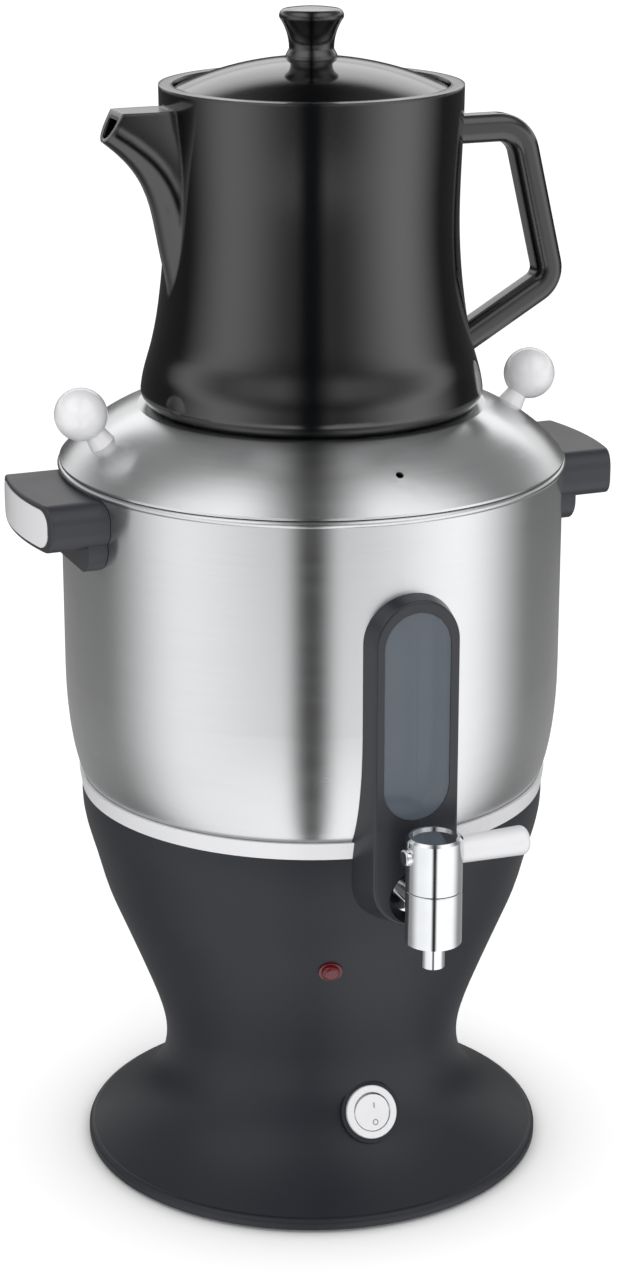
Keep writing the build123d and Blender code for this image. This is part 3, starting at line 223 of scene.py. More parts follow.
@dataclass(frozen=True)
class SpunSteel(Finish):
    """Stainless steel that was spun and brushed while it turned: fine rings and a stretched gleam.

    A real brush line is under 0.1 mm wide. The lines are drawn coarser here, so that they show.
    In one turn round the axis a line changes about six times as often as strokes says. Band is
    the lines' width as a share of the width of the faint bands over them.
    """

    line: float = 0.55 * MM
    depth: float = 0.0014 * MM
    strokes: float = 2.2
    band: float = 0.08
    stretch: float = 0.85
    turn: float = 0.25
    mottle: float = 0.035
    spread: float = 0.03

    def build(self) -> bpy.types.Material:
        """Makes the material.

        Returns:
            The material, whose lines run round the piece's upright axis.
        """
        material, tree, shader = self.start(
            Metallic=1.0, Anisotropic=self.stretch, Anisotropic_Rotation=self.turn
        )
        place = add_node(tree, "ShaderNodeTexCoord").outputs["Object"]
        parts = add_node(tree, "ShaderNodeSeparateXYZ", (place,))
        flat = add_node(tree, "ShaderNodeCombineXYZ", (parts.outputs["X"], parts.outputs["Y"]))
        reach = add_node(tree, VECTOR_MATH, (flat.outputs[0],), operation="LENGTH")
        heading = add_node(tree, VECTOR_MATH, (flat.outputs[0],), operation="NORMALIZE")
        # height minus radius grows along the side and across the lid alike
        along = add_node(tree, MATH, (parts.outputs["Z"], reach.outputs["Value"]), operation="SUBTRACT")
        fine = add_node(tree, MATH, (along.outputs[0], 1 / self.line), operation="MULTIPLY")
        lift = add_node(tree, "ShaderNodeCombineXYZ", {"Z": fine.outputs[0]})
        round_axis = (self.strokes, self.strokes, 0)
        sweep = add_node(tree, VECTOR_MATH, (heading.outputs[0], round_axis), operation="MULTIPLY")
        brushed = add_node(tree, VECTOR_MATH, (sweep.outputs[0], lift.outputs[0]), operation="ADD")
        lines = add_node(tree, NOISE, {"Vector": brushed.outputs[0], "Scale": 1.0, "Detail": 4.0})
        wide = add_node(tree, VECTOR_MATH, (brushed.outputs[0], (1, 1, self.band)), operation="MULTIPLY")
        bands = add_node(tree, NOISE, {"Vector": wide.outputs[0], "Scale": 1.0, "Detail": 3.0})
        both = add_node(tree, MATH, (lines.outputs[0], bands.outputs[0]), operation="ADD")
        mean = add_node(tree, MATH, (both.outputs[0], 0.5), operation="MULTIPLY")
        tangent = add_node(tree, "ShaderNodeTangent", direction_type="RADIAL", axis="Z")
        tree.links.new(tangent.outputs[0], shader.inputs["Tangent"])
        self.shade(tree, shader, mean.outputs[0], self.mottle)
        self.gloss(tree, shader, mean.outputs[0], self.spread)
        self.relief(tree, shader, lines.outputs[0], self.depth)
        return material


@dataclass(frozen=True)
class PolishedMetal(Finish):
    """Plated, turned or cast metal: it mirrors the room, with faint wipe marks in its gloss."""

    smear: float = 9 * MM
    mottle: float = 0.04
    spread: float = 0.03
    cast_grain: float = 0.8 * MM
    depth: float = 0.0

    def build(self) -> bpy.types.Material:
        """Makes the material.

        Returns:
            The material, with a cast grain where it has a depth.
        """
        material, tree, shader = self.start(Metallic=1.0)
        place = add_node(tree, "ShaderNodeTexCoord").outputs["Object"]
        marks = add_node(tree, NOISE, {"Vector": place, "Scale": 1 / self.smear, "Detail": 5.0})
        self.shade(tree, shader, marks.outputs[0], self.mottle)
        self.gloss(tree, shader, marks.outputs[0], self.spread)
        if self.depth > 0:
            cast = add_node(tree, NOISE, {"Vector": place, "Scale": 1 / self.cast_grain, "Detail": 2.0})
            self.relief(tree, shader, cast.outputs[0], self.depth)
        return material


@dataclass(frozen=True)
class Glaze(Finish):
    """Glaze fired on stoneware: deep gloss over a surface that rolls a little."""

    roll: float = 26 * MM
    depth: float = 0.05 * MM
    speck: float = 1.6 * MM
    mottle: float = 0.15
    spread: float = 0.025
    corner: float = 2.4 * MM

    def build(self) -> bpy.types.Material:
        """Makes the material.

        Returns:
            The material, which shades the corners rounded, as glaze runs round the clay's.
        """
        material, tree, shader = self.start(IOR=1.62, Coat_Weight=0.35, Coat_Roughness=0.04, Coat_IOR=1.6)
        place = add_node(tree, "ShaderNodeTexCoord").outputs["Object"]
        roll = add_node(tree, NOISE, {"Vector": place, "Scale": 1 / self.roll, "Detail": 1.5})
        speck = add_node(tree, NOISE, {"Vector": place, "Scale": 1 / self.speck, "Detail": 3.0})
        self.shade(tree, shader, speck.outputs[0], self.mottle)
        self.gloss(tree, shader, speck.outputs[0], self.spread)
        bump = self.relief(tree, shader, roll.outputs[0], self.depth)
        rounded = add_node(tree, "ShaderNodeBevel", {"Radius": self.corner}, samples=6)
        tree.links.new(rounded.outputs[0], bump.inputs["Normal"])
        return material


@dataclass(frozen=True)
class ClearPlastic(Finish):
    """Tinted or clear plastic or glass: light passes it, and it keeps a sharp gloss."""

    passing: float = 1.0
    ior: float = 1.49
    alpha: float = 1.0
    haze: float = 12 * MM
    mottle: float = 0.04
    spread: float = 0.02

    def build(self) -> bpy.types.Material:
        """Makes the material.

        Returns:
            The material, with a faint haze in its colour and gloss.
        """
        material, tree, shader = self.start(
            Transmission_Weight=self.passing, IOR=self.ior, Alpha=self.alpha
        )
        place = add_node(tree, "ShaderNodeTexCoord").outputs["Object"]
        haze = add_node(tree, NOISE, {"Vector": place, "Scale": 1 / self.haze, "Detail": 2.0})
        self.shade(tree, shader, haze.outputs[0], self.mottle)
        self.gloss(tree, shader, haze.outputs[0], self.spread)
        return material


class Stock(Enum):
    """Every finish that the samovar's pieces are made with."""

    # satin moulded casings: dark, with broad soft highlights over a fine grain
    BASE_ABS = MouldedPlastic("charcoal_ABS_moulded", "#25272d", 0.42, shine=0.3)
    HANDLE_ABS = MouldedPlastic("graphite_ABS_moulded", "#35363b", 0.4, shine=0.4)
    # the same plastic from a smoother mould: a narrower, brighter highlight
    GAUGE_ABS = MouldedPlastic("slate_ABS_moulded", "#2d2e33", 0.3, shine=0.4)
    # polypropylene is waxy: its highlight is wide and dull
    COVER_PP = MouldedPlastic("black_PP_moulded", "#232427", 0.55)
    # polished white ABS: a clear small highlight over an even white
    WHITE_ABS = MouldedPlastic(
        "white_ABS_polished", "#f2f2f4", 0.2, grain=4 * MM, depth=0.006 * MM, mottle=0.02, coat=0.4
    )
    # the collar and the lever are a shade greyer and softer in their gloss
    TRIM_ABS = MouldedPlastic(
        "white_ABS_satin", "#e9e9eb", 0.3, grain=3 * MM, depth=0.005 * MM, mottle=0.02, coat=0.2
    )
    # pressed rubber and silicone: nearly no gloss, and the foot has the coarsest skin
    FOOT_RUBBER = MouldedPlastic("black_rubber_pressed", "#1c1c1e", 0.75, depth=0.03 * MM)
    SEAL_SILICONE = MouldedPlastic("grey_silicone_pressed", "#b9b3a8", 0.6)
    DARK_RUBBER = MouldedPlastic("nitrile_rubber_pressed", "#151516", 0.65)
    # phenolic is brown-black and hard: a dull sheen
    DEVICE_PHENOLIC = MouldedPlastic("phenolic_moulded", "#2a2522", 0.45)
    # undyed nylon: ivory and waxy
    BLOCK_NYLON = MouldedPlastic("natural_nylon_moulded", "#dcd9d0", 0.5)
    # printing ink: flat mid grey on the polished rocker
    MARK_INK = MouldedPlastic("grey_pad_print", "#8f9096", 0.5, grain=0.5 * MM, depth=0.002 * MM)
    # brushed stainless: upright bright and dark stripes on the side, rings on the lid
    VESSEL_STEEL = SpunSteel("stainless_steel_brushed_side", "#cfd0d1", 0.25)
    LID_STEEL = SpunSteel("stainless_steel_brushed_lid", "#cfd0d1", 0.25)
    # chrome: a nearly clean mirror, black and white side by side
    CHROME = PolishedMetal("chrome_plated_zinc", "#d6d8da", 0.09)
    # zinc-plated hardware: grey, with a blurred and patchy gleam
    HARDWARE = PolishedMetal("zinc_plated_steel", "#b4b6b9", 0.32, spread=0.06)
    # cast aluminium: pale and dull, with a grain from the mould
    ALUMINIUM = PolishedMetal("cast_aluminium", "#b9bbbe", 0.45, spread=0.05, depth=0.02 * MM)
    # turned brass: warm yellow, bright on its edges
    BRASS = PolishedMetal("turned_brass", "#b5975a", 0.22, spread=0.05)
    # black glaze: deep black with sharp reflections of the lights
    GLAZE = Glaze("black_glaze_fired", "#08090b", 0.12)
    # red lens: dark red that glows where light passes it
    LENS = ClearPlastic("red_acrylic_moulded", "#7a1420", 0.12, passing=0.45)
    # blown lamp glass: a faint warm tint of the gas
    LAMP_GLASS = ClearPlastic("neon_glass_blown", "#e8b49a", 0.1, passing=0.6)
    # smoked window: grey, glossy, with the tube just showing behind it
    WINDOW = ClearPlastic("smoked_acrylic_moulded", "#5f6872", 0.16, passing=0.0, alpha=0.66)
    # drawn tube glass: clear, bright along its edges
    TUBE_GLASS = ClearPlastic("borosilicate_glass_drawn", "#e9f0f2", 0.03, ior=1.47)


class Workshop:
    """Makes each finish once and gives it to the pieces that ask for it."""

    def __init__(self) -> None:
        """Starts with nothing made."""
        self.made: dict[Stock, bpy.types.Material] = {}

    def material(self, stock: Stock) -> bpy.types.Material:
        """The material of a finish.

        Args:
            stock: which finish.

        Returns:
            The material, made at its first use.
        """
        if stock not in self.made:
            self.made[stock] = stock.value.build()
        return self.made[stock]

    def dress(self, stock: Stock, *names: str) -> None:
        """Puts a finish on CAD nodes.

        Args:
            stock: which finish.
            names: the nodes' names.
        """
        for name in names:
            for slot in frame["nodes"][name].material_slots:
                slot.material = self.material(stock)
            LOG.info("%s: %s", name, stock.value.name)


class Piece:
    """A new mesh made with bmesh operators."""

    def __init__(self, name: str) -> None:
        """Starts an empty mesh.

        Args:
            name: the piece's name.
        """
        self.name = name
        self.mesh = bmesh.new()

    def finish(self, material: bpy.types.Material, body: str | None) -> bpy.types.Object:
        """Closes the mesh, makes its object and fixes it to a body.

        Args:
            material: what covers it.
            body: the CAD body that it rides on, or None for the surroundings.

        Returns:
            The object, at the origin.
        """
        bmesh.ops.remove_doubles(self.mesh, verts=self.mesh.verts, dist=SAME_PLACE)
        bmesh.ops.recalc_face_normals(self.mesh, faces=self.mesh.faces)
        data = bpy.data.meshes.new(self.name)
        self.mesh.to_mesh(data)
        self.mesh.free()
        data.shade_smooth()
        data.set_sharp_from_angle(angle=math.radians(SHARP_FROM))
        data.materials.append(material)
        made = bpy.data.objects.new(self.name, data)
        bpy.context.scene.collection.objects.link(made)
        if body is None:
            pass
        else:
            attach(made, body)
        LOG.info("%s: %d faces", self.name, len(data.polygons))
        return made


# ---------------------------------------------------------------- sub-assemblies
@dataclass
class Base:
    """The moulded goblet base with its cover, foot ring and cord gland, and the heater in it."""

    def build(self, shop: Workshop) -> None:
        """Dresses the base.

        Args:
            shop: where the finishes come from.
        """
        shop.dress(Stock.BASE_ABS, "base_housing")
        shop.dress(Stock.COVER_PP, "bottom_cover")
        shop.dress(Stock.FOOT_RUBBER, "foot_ring")
        shop.dress(Stock.DARK_RUBBER, "cord_gland")
        shop.dress(Stock.BLOCK_NYLON, "terminal_block")
        shop.dress(Stock.HARDWARE, "bottom_screws", "heating_element", "fuse_clip")
        shop.dress(Stock.ALUMINIUM, "heater_plate")
        shop.dress(Stock.DEVICE_PHENOLIC, "thermostat", "thermal_fuse")


@dataclass
class Switch:
    """The round rocker switch with its two printed marks, and the signal lamp.

    Lean and travel are degrees: how far the switch's face leans back from upright, and the
    rocker's full swing, of which half is on each side of level. The rocker's face is a shallow
    V: its crease is this far above the pivot, and each edge, a radius away, rises by the dip.
    A mark's place is its distance to the right of the crease's middle and up the face, and the
    bar's corners are rounded by a share of its width.
    """

    lean: float = 24.0
    travel: float = 12.0
    crease: float = 1.9 * MM
    dip: float = 0.9 * MM
    radius: float = 8.2 * MM
    mark_height: float = 0.12 * MM
    bar_place: tuple[float, float] = (1.2 * MM, 3.1 * MM)
    bar_size: tuple[float, float] = (0.55 * MM, 2.6 * MM)
    bar_round: float = 0.4
    bar_segments: int = 4
    ring_place: tuple[float, float] = (1.0 * MM, -4.6 * MM)
    ring_radius: float = 1.15 * MM
    ring_line: float = 0.5 * MM
    ring_steps: int = 48
    line_segments: int = 12

    def pivot(self) -> Vector:
        """Where the rocker turns, as its joint says."""
        return Vector(next(joint["pos_m"] for joint in frame["joints"] if joint["name"] == "rocker_tilt"))

    def on_face(self, place: tuple[float, float]) -> Matrix:
        """Frame on the rocker's face.

        Args:
            place: distance to the right of the middle and above it.

        Returns:
            A matrix whose x runs to the right, y up the face and z out of it.
        """
        rise = self.dip / self.radius
        slope = math.atan(rise) * (1 if place[1] > 0 else -1)
        height = self.crease + rise * abs(place[1])
        turned = Matrix.Rotation(math.radians(90 - self.lean + self.travel / 2), 4, "X")
        local = Matrix.Translation((*place, height)) @ Matrix.Rotation(slope, 4, "X")
        return Matrix.Translation(self.pivot()) @ turned @ local

    def bar(self, shop: Workshop) -> None:
        """Prints the mark of the closed circuit.

        Args:
            shop: where the finishes come from.
        """
        piece = Piece("switch_mark_on")
        bmesh.ops.create_cube(piece.mesh, size=1.0)
        bmesh.ops.scale(piece.mesh, vec=(*self.bar_size, 2 * self.mark_height), verts=piece.mesh.verts)
        upright = [
            edge
            for edge in piece.mesh.edges
            if abs((edge.verts[0].co - edge.verts[1].co).z) > self.mark_height
        ]
        bmesh.ops.bevel(
            piece.mesh,
            geom=upright,
            offset=self.bar_round * self.bar_size[0],
            segments=self.bar_segments,
            profile=0.5,
            affect="EDGES",
            material=-1,
        )
        bmesh.ops.transform(piece.mesh, matrix=self.on_face(self.bar_place), verts=piece.mesh.verts)
        piece.finish(shop.material(Stock.MARK_INK), "rocker")

    def ring(self, shop: Workshop) -> None:
        """Prints the mark of the open circuit.

        Args:
            shop: where the finishes come from.
        """
        piece = Piece("switch_mark_off")
        line = bmesh.ops.create_circle(
            piece.mesh, segments=self.line_segments, radius=self.ring_line / 2, cap_ends=False
        )
        flat = (1, 2 * self.mark_height / self.ring_line, 1)
        bmesh.ops.scale(piece.mesh, vec=flat, verts=line["verts"])
        stood = Matrix.Rotation(math.pi / 2, 3, "X")
        bmesh.ops.rotate(piece.mesh, cent=(0, 0, 0), matrix=stood, verts=line["verts"])
        bmesh.ops.translate(piece.mesh, vec=(self.ring_radius, 0, 0), verts=line["verts"])
        bmesh.ops.spin(
            piece.mesh,
            geom=piece.mesh.edges[:] + piece.mesh.verts[:],
            cent=(0, 0, 0),
            axis=(0, 0, 1),
            angle=2 * math.pi,
            steps=self.ring_steps,
            use_merge=True,
        )
        bmesh.ops.transform(piece.mesh, matrix=self.on_face(self.ring_place), verts=piece.mesh.verts)
        piece.finish(shop.material(Stock.MARK_INK), "rocker")

    def build(self, shop: Workshop) -> None:
        """Dresses the switch and the lamp and prints the marks.

        Args:
            shop: where the finishes come from.
        """
        shop.dress(Stock.WHITE_ABS, "switch_housing", "switch_rocker")
        shop.dress(Stock.LENS, "indicator_lens")
        shop.dress(Stock.LAMP_GLASS, "neon_lamp")
        shop.dress(Stock.HARDWARE, "switch_terminals", "indicator_nut")
        self.bar(shop)
        self.ring(shop)


@dataclass
class Boiler:
    """The steel vessel bolted to its white collar, with the two handles."""

    def build(self, shop: Workshop) -> None:
        """Dresses the boiler and the handles.

        Args:
            shop: where the finishes come from.
        """
        shop.dress(Stock.VESSEL_STEEL, "boiler_body")
        shop.dress(Stock.TRIM_ABS, "collar_ring")
        shop.dress(Stock.HARDWARE, "boiler_studs", "boiler_nuts", "handle_screws")
        shop.dress(Stock.HANDLE_ABS, "handle_left", "handle_right")
        shop.dress(Stock.WHITE_ABS, "handle_insert_left", "handle_insert_right")
        shop.dress(Stock.SEAL_SILICONE, "handle_screw_seals")


@dataclass
class Gauge:
    """The level gauge: frame, smoked window and the glass tube behind it."""

    def build(self, shop: Workshop) -> None:
        """Dresses the gauge.

        Args:
            shop: where the finishes come from.
        """
        shop.dress(Stock.GAUGE_ABS, "gauge_frame")
        shop.dress(Stock.WINDOW, "gauge_window")
        shop.dress(Stock.TUBE_GLASS, "gauge_tube")
        shop.dress(Stock.BRASS, "gauge_fittings", "gauge_nuts")
        shop.dress(Stock.SEAL_SILICONE, "gauge_seals")


@dataclass
class Tap:
    """The chrome tap with its white lever, and its way through the base."""

    def build(self, shop: Workshop) -> None:
        """Dresses the tap.

        Args:
            shop: where the finishes come from.
        """
        shop.dress(Stock.CHROME, "tap_body", "tap_cap", "lever_pin")
        shop.dress(Stock.BRASS, "tap_plug", "outlet_elbow")
        shop.dress(Stock.TRIM_ABS, "tap_lever")
        shop.dress(Stock.HARDWARE, "tap_nut")
        shop.dress(Stock.DARK_RUBBER, "tap_o_rings", "tap_gasket")


@dataclass
class Lid:
    """The boiler's lid with its two ball knobs."""

    def build(self, shop: Workshop) -> None:
        """Dresses the lid.

        Args:
            shop: where the finishes come from.
        """
        shop.dress(Stock.LID_STEEL, "lid")
        shop.dress(Stock.WHITE_ABS, "lid_knob_left", "lid_knob_right")
        shop.dress(Stock.HARDWARE, "lid_knob_screws")


@dataclass
class Teapot:
    """The glazed teapot and its lid."""

    def build(self, shop: Workshop) -> None:
        """Dresses the teapot.

        Args:
            shop: where the finishes come from.
        """
        shop.dress(Stock.GLAZE, "teapot_body", "teapot_lid")


# ---------------------------------------------------------------- surroundings
@dataclass
class Studio:
    """White floor and backdrop, two broad side lights with a dark gap between, and the camera.

    The lights are a pattern on the world, a level for each direction. A level of 1 is plain
    white. Ends in degrees are counted round the upright axis from the camera's side, 0 in
    front and 180 behind. Heights are how far a direction points up, from -1 to 1, sides how
    far it points to either side, from 0 to 1, and depths how far it points to the camera,
    from -1 to 1. A level changes softly between the two values of a pair.
    """

    # the camera: degrees from the tap's side, and the lens and the sensor in millimetres
    azimuth: float = -22.0
    camera_distance: float = 1.26695
    camera_height: float = 0.656
    camera_pitch: float = 71.92
    lens: float = 83.06
    sensor: float = 36.0
    shift: float = -0.0016
    clip: float = 0.05

    floor_reach: float = 30.0
    floor_segments: int = 96
    floor_colour: str = "#f2f2f2"
    floor_fibre: float = 2 * MM
    floor_tones: tuple[float, float] = (0.995, 1.005)
    floor_glow: float = 0.4
    # a painted contact shadow: how far round the foot it reaches, and how steeply it takes away the glow
    painted_shadow_reach: float = 66 * MM
    painted_shadow_power: float = 4.0

    # what matt surfaces get from every side, and from the lamp in front
    even_level: float = 0.98
    fill_place: tuple[float, float, float] = (-0.7, -2.6, 0.9)
    fill_side: float = 1.4
    fill_power: float = 20.0

    # the dark gap in front, between the side lights
    gap_level: float = 0.02
    gap_ends: tuple[float, float] = (2.5, 14.0)
    # the lights' dim shoulders next to the gap, brighter far below the horizon
    shoulder_ends: tuple[float, float] = (12.0, 65.0)
    shoulder_heights: tuple[float, float] = (-0.33, -0.2)
    shoulder_levels: tuple[float, float] = (1.06, 0.2)
    # the side lights, as shares of their level: left to right, and above their upper edge
    panel_level: float = 1.7
    panel_lean: tuple[float, float] = (0.9, 1.1)
    panel_heights: tuple[float, float] = (0.12, 0.3)
    panel_top: float = 0.3
    panel_ends: tuple[float, float] = (66.0, 114.0)
    # degrees that the left light comes forward and, below zero, that the right one stands back,
    # and how far to either side a direction has to point for that to hold in full
    side_turns: tuple[float, float] = (4.0, -5.0)
    side_middle: float = 0.3

    # behind: ground below the horizon, darkest just under it, and a bright backdrop above it
    ground_heights: tuple[float, float] = (-0.7, -0.33)
    ground_levels: tuple[float, float] = (0.25, 0.48)
    dusk_heights: tuple[float, float] = (-0.31, -0.22)
    dusk_level: float = 0.08
    backdrop_heights: tuple[float, float] = (0.05, 0.18)
    backdrop_level: float = 1.3

    # overhead: a dark band over the middle, a lit strip on each side, dim ends and a dim back
    sky_heights: tuple[float, float] = (0.2, 0.5)
    sky_level: float = 1.85
    band_sides: tuple[float, float] = (0.0, 0.4)
    band_level: float = 0.08
    strip_ends: tuple[float, float] = (0.7, 0.98)
    strip_end_share: float = 0.18
    back_depths: tuple[float, float] = (-0.3, 0.15)
    back_share: float = 0.2

    # a white card high behind, which the teapot's lid mirrors
    card_level: float = 1.85
    card_foot: tuple[float, float] = (0.2, 0.32)
    card_head: tuple[float, float] = (0.58, 0.7)
    card_depths: tuple[float, float] = (-0.86, -0.7)

    def front(self) -> Vector:
        """Level direction from the samovar to the camera."""
        return Matrix.Rotation(math.radians(self.azimuth), 3, "Z") @ Vector((0.0, -1.0, 0.0))

    def right(self) -> Vector:
        """Level direction to the camera's right."""
        return Matrix.Rotation(math.radians(self.azimuth), 3, "Z") @ Vector((1.0, 0.0, 0.0))

    def floor(self) -> None:
        """Lays the floor: matt white paper, which glows a little for the camera, with a shadow painted under
        the foot.
        """
        piece = Piece("studio_floor")
        bmesh.ops.create_circle(
            piece.mesh, cap_ends=True, segments=self.floor_segments, radius=self.floor_reach
        )
        material = bpy.data.materials.new("white_paper_matt")
        material.use_nodes = True
        tree = material.node_tree
        tree.nodes.clear()
        place = add_node(tree, "ShaderNodeTexCoord").outputs["Object"]
        fibre = add_node(tree, NOISE, {"Vector": place, "Scale": 1 / self.floor_fibre, "Detail": 2.0})
        tone = add_node(tree, RANGE, (fibre.outputs[0], *NOISE_ENDS, *self.floor_tones))
        colour = add_node(
            tree, "ShaderNodeHueSaturation", {"Value": tone.outputs[0], "Color": linear(self.floor_colour)}
        )
        paper = add_node(tree, "ShaderNodeBsdfDiffuse", {"Color": colour.outputs[0]})
        # painted shadow: the glow fades with ambient occlusion under the foot's edge, so the shadow there is
        # painted deeper than the light casts it
        painted_shadow_occlusion = add_node(tree, "ShaderNodeAmbientOcclusion", {"Distance": self.painted_shadow_reach}, samples=8)
        painted_shadow = add_node(tree, MATH, (painted_shadow_occlusion.outputs["AO"], self.painted_shadow_power), operation="POWER")
        share = add_node(tree, MATH, (painted_shadow.outputs[0], self.floor_glow), operation="MULTIPLY")
        level = add_node(tree, MATH, (self.seen(tree), share.outputs[0]), operation="MULTIPLY")
        glow = add_node(tree, "ShaderNodeEmission", {"Strength": level.outputs[0]})
        both = add_node(tree, "ShaderNodeAddShader", (paper.outputs[0], glow.outputs[0]))
        add_node(tree, "ShaderNodeOutputMaterial", {"Surface": both.outputs[0]})
        # gloss sees the side lights carried on below the horizon instead of the floor
        piece.finish(material, None).visible_glossy = False

    def seen(self, tree: bpy.types.NodeTree) -> bpy.types.NodeSocket:
        """Picks the rays that carry what the camera sees, directly, mirrored or through glass.

        Args:
            tree: the material's node tree.

        Returns:
            One for such a ray and zero for any other.
        """
        path = add_node(tree, "ShaderNodeLightPath").outputs
        direct = add_node(tree, MATH, (path["Is Camera Ray"], path["Is Glossy Ray"]), operation="ADD")
        every = add_node(tree, MATH, (direct.outputs[0], path["Is Transmission Ray"]), operation="MAXIMUM")
        return every.outputs[0]

    def walls(
        self,
        tree: bpy.types.NodeTree,
        across: bpy.types.NodeSocket,
        ahead: bpy.types.NodeSocket,
        up: bpy.types.NodeSocket,
    ) -> bpy.types.NodeSocket:
        """Light from around: two side lights, the dark gap in front and what stands behind.

        Args:
            tree: the world's node tree.
            across: how far the direction points to the right.
            ahead: how far it points towards the camera.
            up: how far it points up.

        Returns:
            The level of light.
        """
        aside = add_node(tree, MATH, (across,), operation="ABSOLUTE").outputs[0]
        angle = add_node(tree, MATH, (aside, ahead), operation="ARCTAN2").outputs[0]
        plain = add_node(tree, MATH, (angle,), operation="DEGREES").outputs[0]
        middle = (-self.side_middle, self.side_middle)
        turn = add_node(tree, RANGE, (across, *middle, *self.side_turns), **SOFT).outputs[0]
        degrees = add_node(tree, MATH, (plain, turn), operation="ADD").outputs[0]
        shoulder = add_node(tree, RANGE, (up, *self.shoulder_heights, *self.shoulder_levels), **SOFT)
        gap = add_node(tree, RANGE, (plain, *self.gap_ends, self.gap_level, shoulder.outputs[0]), **SOFT)
        shape = add_node(tree, RANGE, (degrees, *self.shoulder_ends, gap.outputs[0], 1.0), **SOFT)
        lean = [share * self.panel_level for share in self.panel_lean]
        strength = add_node(tree, RANGE, (across, -1.0, 1.0, *lean))
        full = add_node(tree, MATH, (shape.outputs[0], strength.outputs[0]), operation="MULTIPLY")
        top = add_node(tree, RANGE, (up, *self.panel_heights, 1.0, self.panel_top), **SOFT)
        panel = add_node(tree, MATH, (full.outputs[0], top.outputs[0]), operation="MULTIPLY")
        ground = add_node(tree, RANGE, (up, *self.ground_heights, *self.ground_levels), **SOFT)
        dusk = add_node(tree, RANGE, (up, *self.dusk_heights, ground.outputs[0], self.dusk_level), **SOFT)
        rear = add_node(
            tree, RANGE, (up, *self.backdrop_heights, dusk.outputs[0], self.backdrop_level), **SOFT
        )
        return add_node(
            tree, RANGE, (degrees, *self.panel_ends, panel.outputs[0], rear.outputs[0]), **SOFT
        ).outputs[0]

    def sky(
        self, tree: bpy.types.NodeTree, across: bpy.types.NodeSocket, ahead: bpy.types.NodeSocket
    ) -> bpy.types.NodeSocket:
        """Light from overhead: two lit strips with a dark band between them, dimmer behind.

        Args:
            tree: the world's node tree.
            across: how far the direction points to the right.
            ahead: how far it points towards the camera.

        Returns:
            The level of light.
        """
        aside = add_node(tree, MATH, (across,), operation="ABSOLUTE").outputs[0]
        strip = add_node(tree, RANGE, (aside, *self.band_sides, self.band_level, self.sky_level), **SOFT)
        end_level = self.strip_end_share * self.sky_level
        ended = add_node(tree, RANGE, (aside, *self.strip_ends, strip.outputs[0], end_level), **SOFT)
        dimmed = add_node(tree, RANGE, (ahead, *self.back_depths, self.back_share, 1.0), **SOFT)
        return add_node(tree, MATH, (ended.outputs[0], dimmed.outputs[0]), operation="MULTIPLY").outputs[0]

    def card(
        self, tree: bpy.types.NodeTree, ahead: bpy.types.NodeSocket, up: bpy.types.NodeSocket
    ) -> bpy.types.NodeSocket:
        """Light from the white card that hangs high behind.

        Args:
            tree: the world's node tree.
            ahead: how far the direction points towards the camera.
            up: how far it points up.

        Returns:
            The level of light.
        """
        foot = add_node(tree, RANGE, (up, *self.card_foot, 0.0, self.card_level), **SOFT)
        head = add_node(tree, RANGE, (up, *self.card_head, foot.outputs[0], 0.0), **SOFT)
        return add_node(tree, RANGE, (ahead, *self.card_depths, head.outputs[0], 0.0), **SOFT).outputs[0]

    def world(self) -> None:
        """Lights the room: gloss mirrors the pattern, matt surfaces get the even level."""
        world = bpy.data.worlds.new("studio_light")
        bpy.context.scene.world = world
        world.use_nodes = True
        # rays then find the lights by themselves, and each one knows of what kind it is
        world.cycles.sampling_method = "NONE"
        tree = world.node_tree
        tree.nodes.clear()
        way = add_node(tree, "ShaderNodeTexCoord").outputs["Generated"]
        across = add_node(tree, VECTOR_MATH, (way, self.right()), operation="DOT_PRODUCT").outputs["Value"]
        ahead = add_node(tree, VECTOR_MATH, (way, self.front()), operation="DOT_PRODUCT").outputs["Value"]
        up = add_node(tree, "ShaderNodeSeparateXYZ", (way,)).outputs["Z"]
        around = self.walls(tree, across, ahead, up)
        above = self.sky(tree, across, ahead)
        room = add_node(tree, RANGE, (up, *self.sky_heights, around, above), **SOFT).outputs[0]
        card = self.card(tree, ahead, up)
        lights = add_node(tree, MATH, (room, card), operation="MAXIMUM").outputs[0]
        path = add_node(tree, "ShaderNodeLightPath").outputs
        even = add_node(tree, RANGE, (path["Is Diffuse Ray"], 0.0, 1.0, lights, self.even_level)).outputs[0]
        white = add_node(tree, RANGE, (path["Is Camera Ray"], 0.0, 1.0, even, 1.0)).outputs[0]
        background = add_node(tree, "ShaderNodeBackground", {"Strength": white})
        add_node(tree, "ShaderNodeOutputWorld", {"Surface": background.outputs[0]})

    def fill(self) -> None:
        """Hangs a broad soft lamp in front that lights matt surfaces and isn't mirrored by gloss."""
        data = bpy.data.lights.new("lamp_front_fill", "AREA")
        data.size = self.fill_side
        data.energy = self.fill_power
        made = bpy.data.objects.new("lamp_front_fill", data)
        made.location = self.fill_place
        made.rotation_euler = (-Vector(self.fill_place)).to_track_quat("-Z", "Y").to_euler()
        made.visible_glossy = False
        made.visible_camera = False
        bpy.context.scene.collection.objects.link(made)

    def camera(self) -> None:
        """Sets up the camera."""
        data = bpy.data.cameras.new("studio_camera")
        data.lens = self.lens
        data.sensor_width = self.sensor
        data.shift_x = self.shift
        data.clip_start = self.clip
        made = bpy.data.objects.new("studio_camera", data)
        made.location = self.camera_distance * self.front() + Vector((0.0, 0.0, self.camera_height))
        made.rotation_euler = (math.radians(self.camera_pitch), 0.0, math.radians(self.azimuth))
        bpy.context.scene.collection.objects.link(made)
        bpy.context.scene.camera = made

    def build(self) -> None:
        """Makes the surroundings."""
        self.floor()
        self.world()
        self.fill()
        self.camera()
        bpy.context.scene.view_settings.view_transform = "Standard"


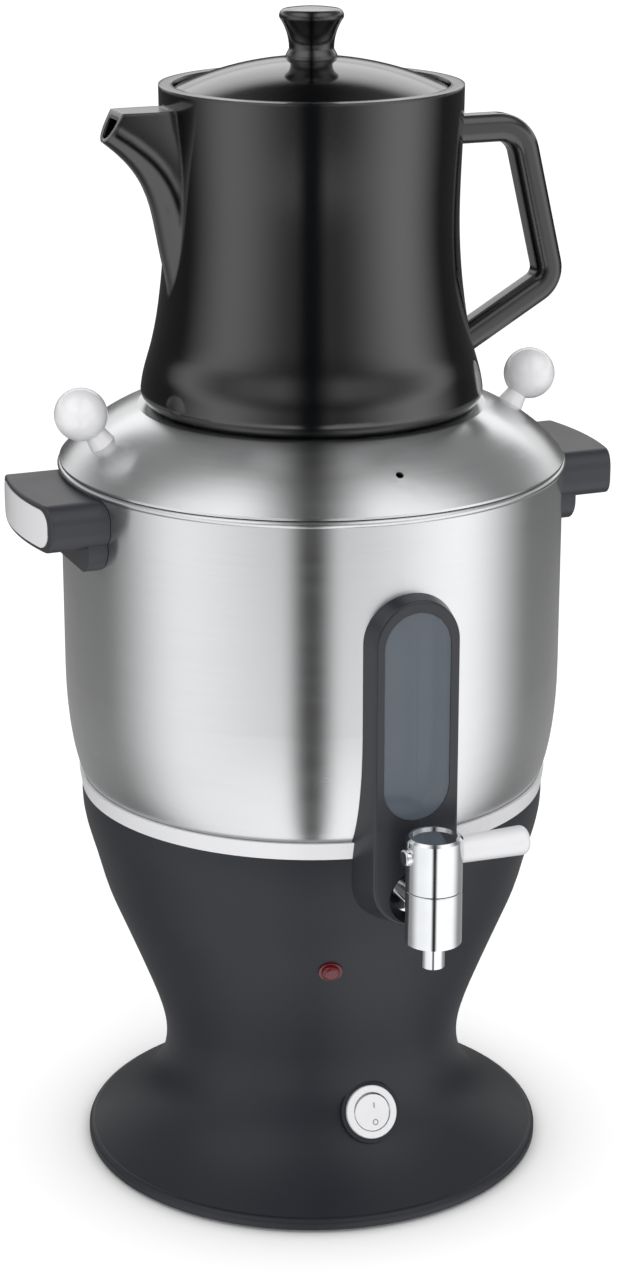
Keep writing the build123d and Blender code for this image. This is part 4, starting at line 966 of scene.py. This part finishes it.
def main() -> None:
    """Builds every sub-assembly in order, then the studio."""
    logging.basicConfig(level=logging.INFO, format="%(name)s %(message)s", stream=sys.stdout)
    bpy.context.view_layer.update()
    shop = Workshop()
    for assembly in (Base(), Switch(), Boiler(), Gauge(), Tap(), Lid(), Teapot()):
        assembly.build(shop)
    Studio().build()


if __name__ == "__main__":
    main()
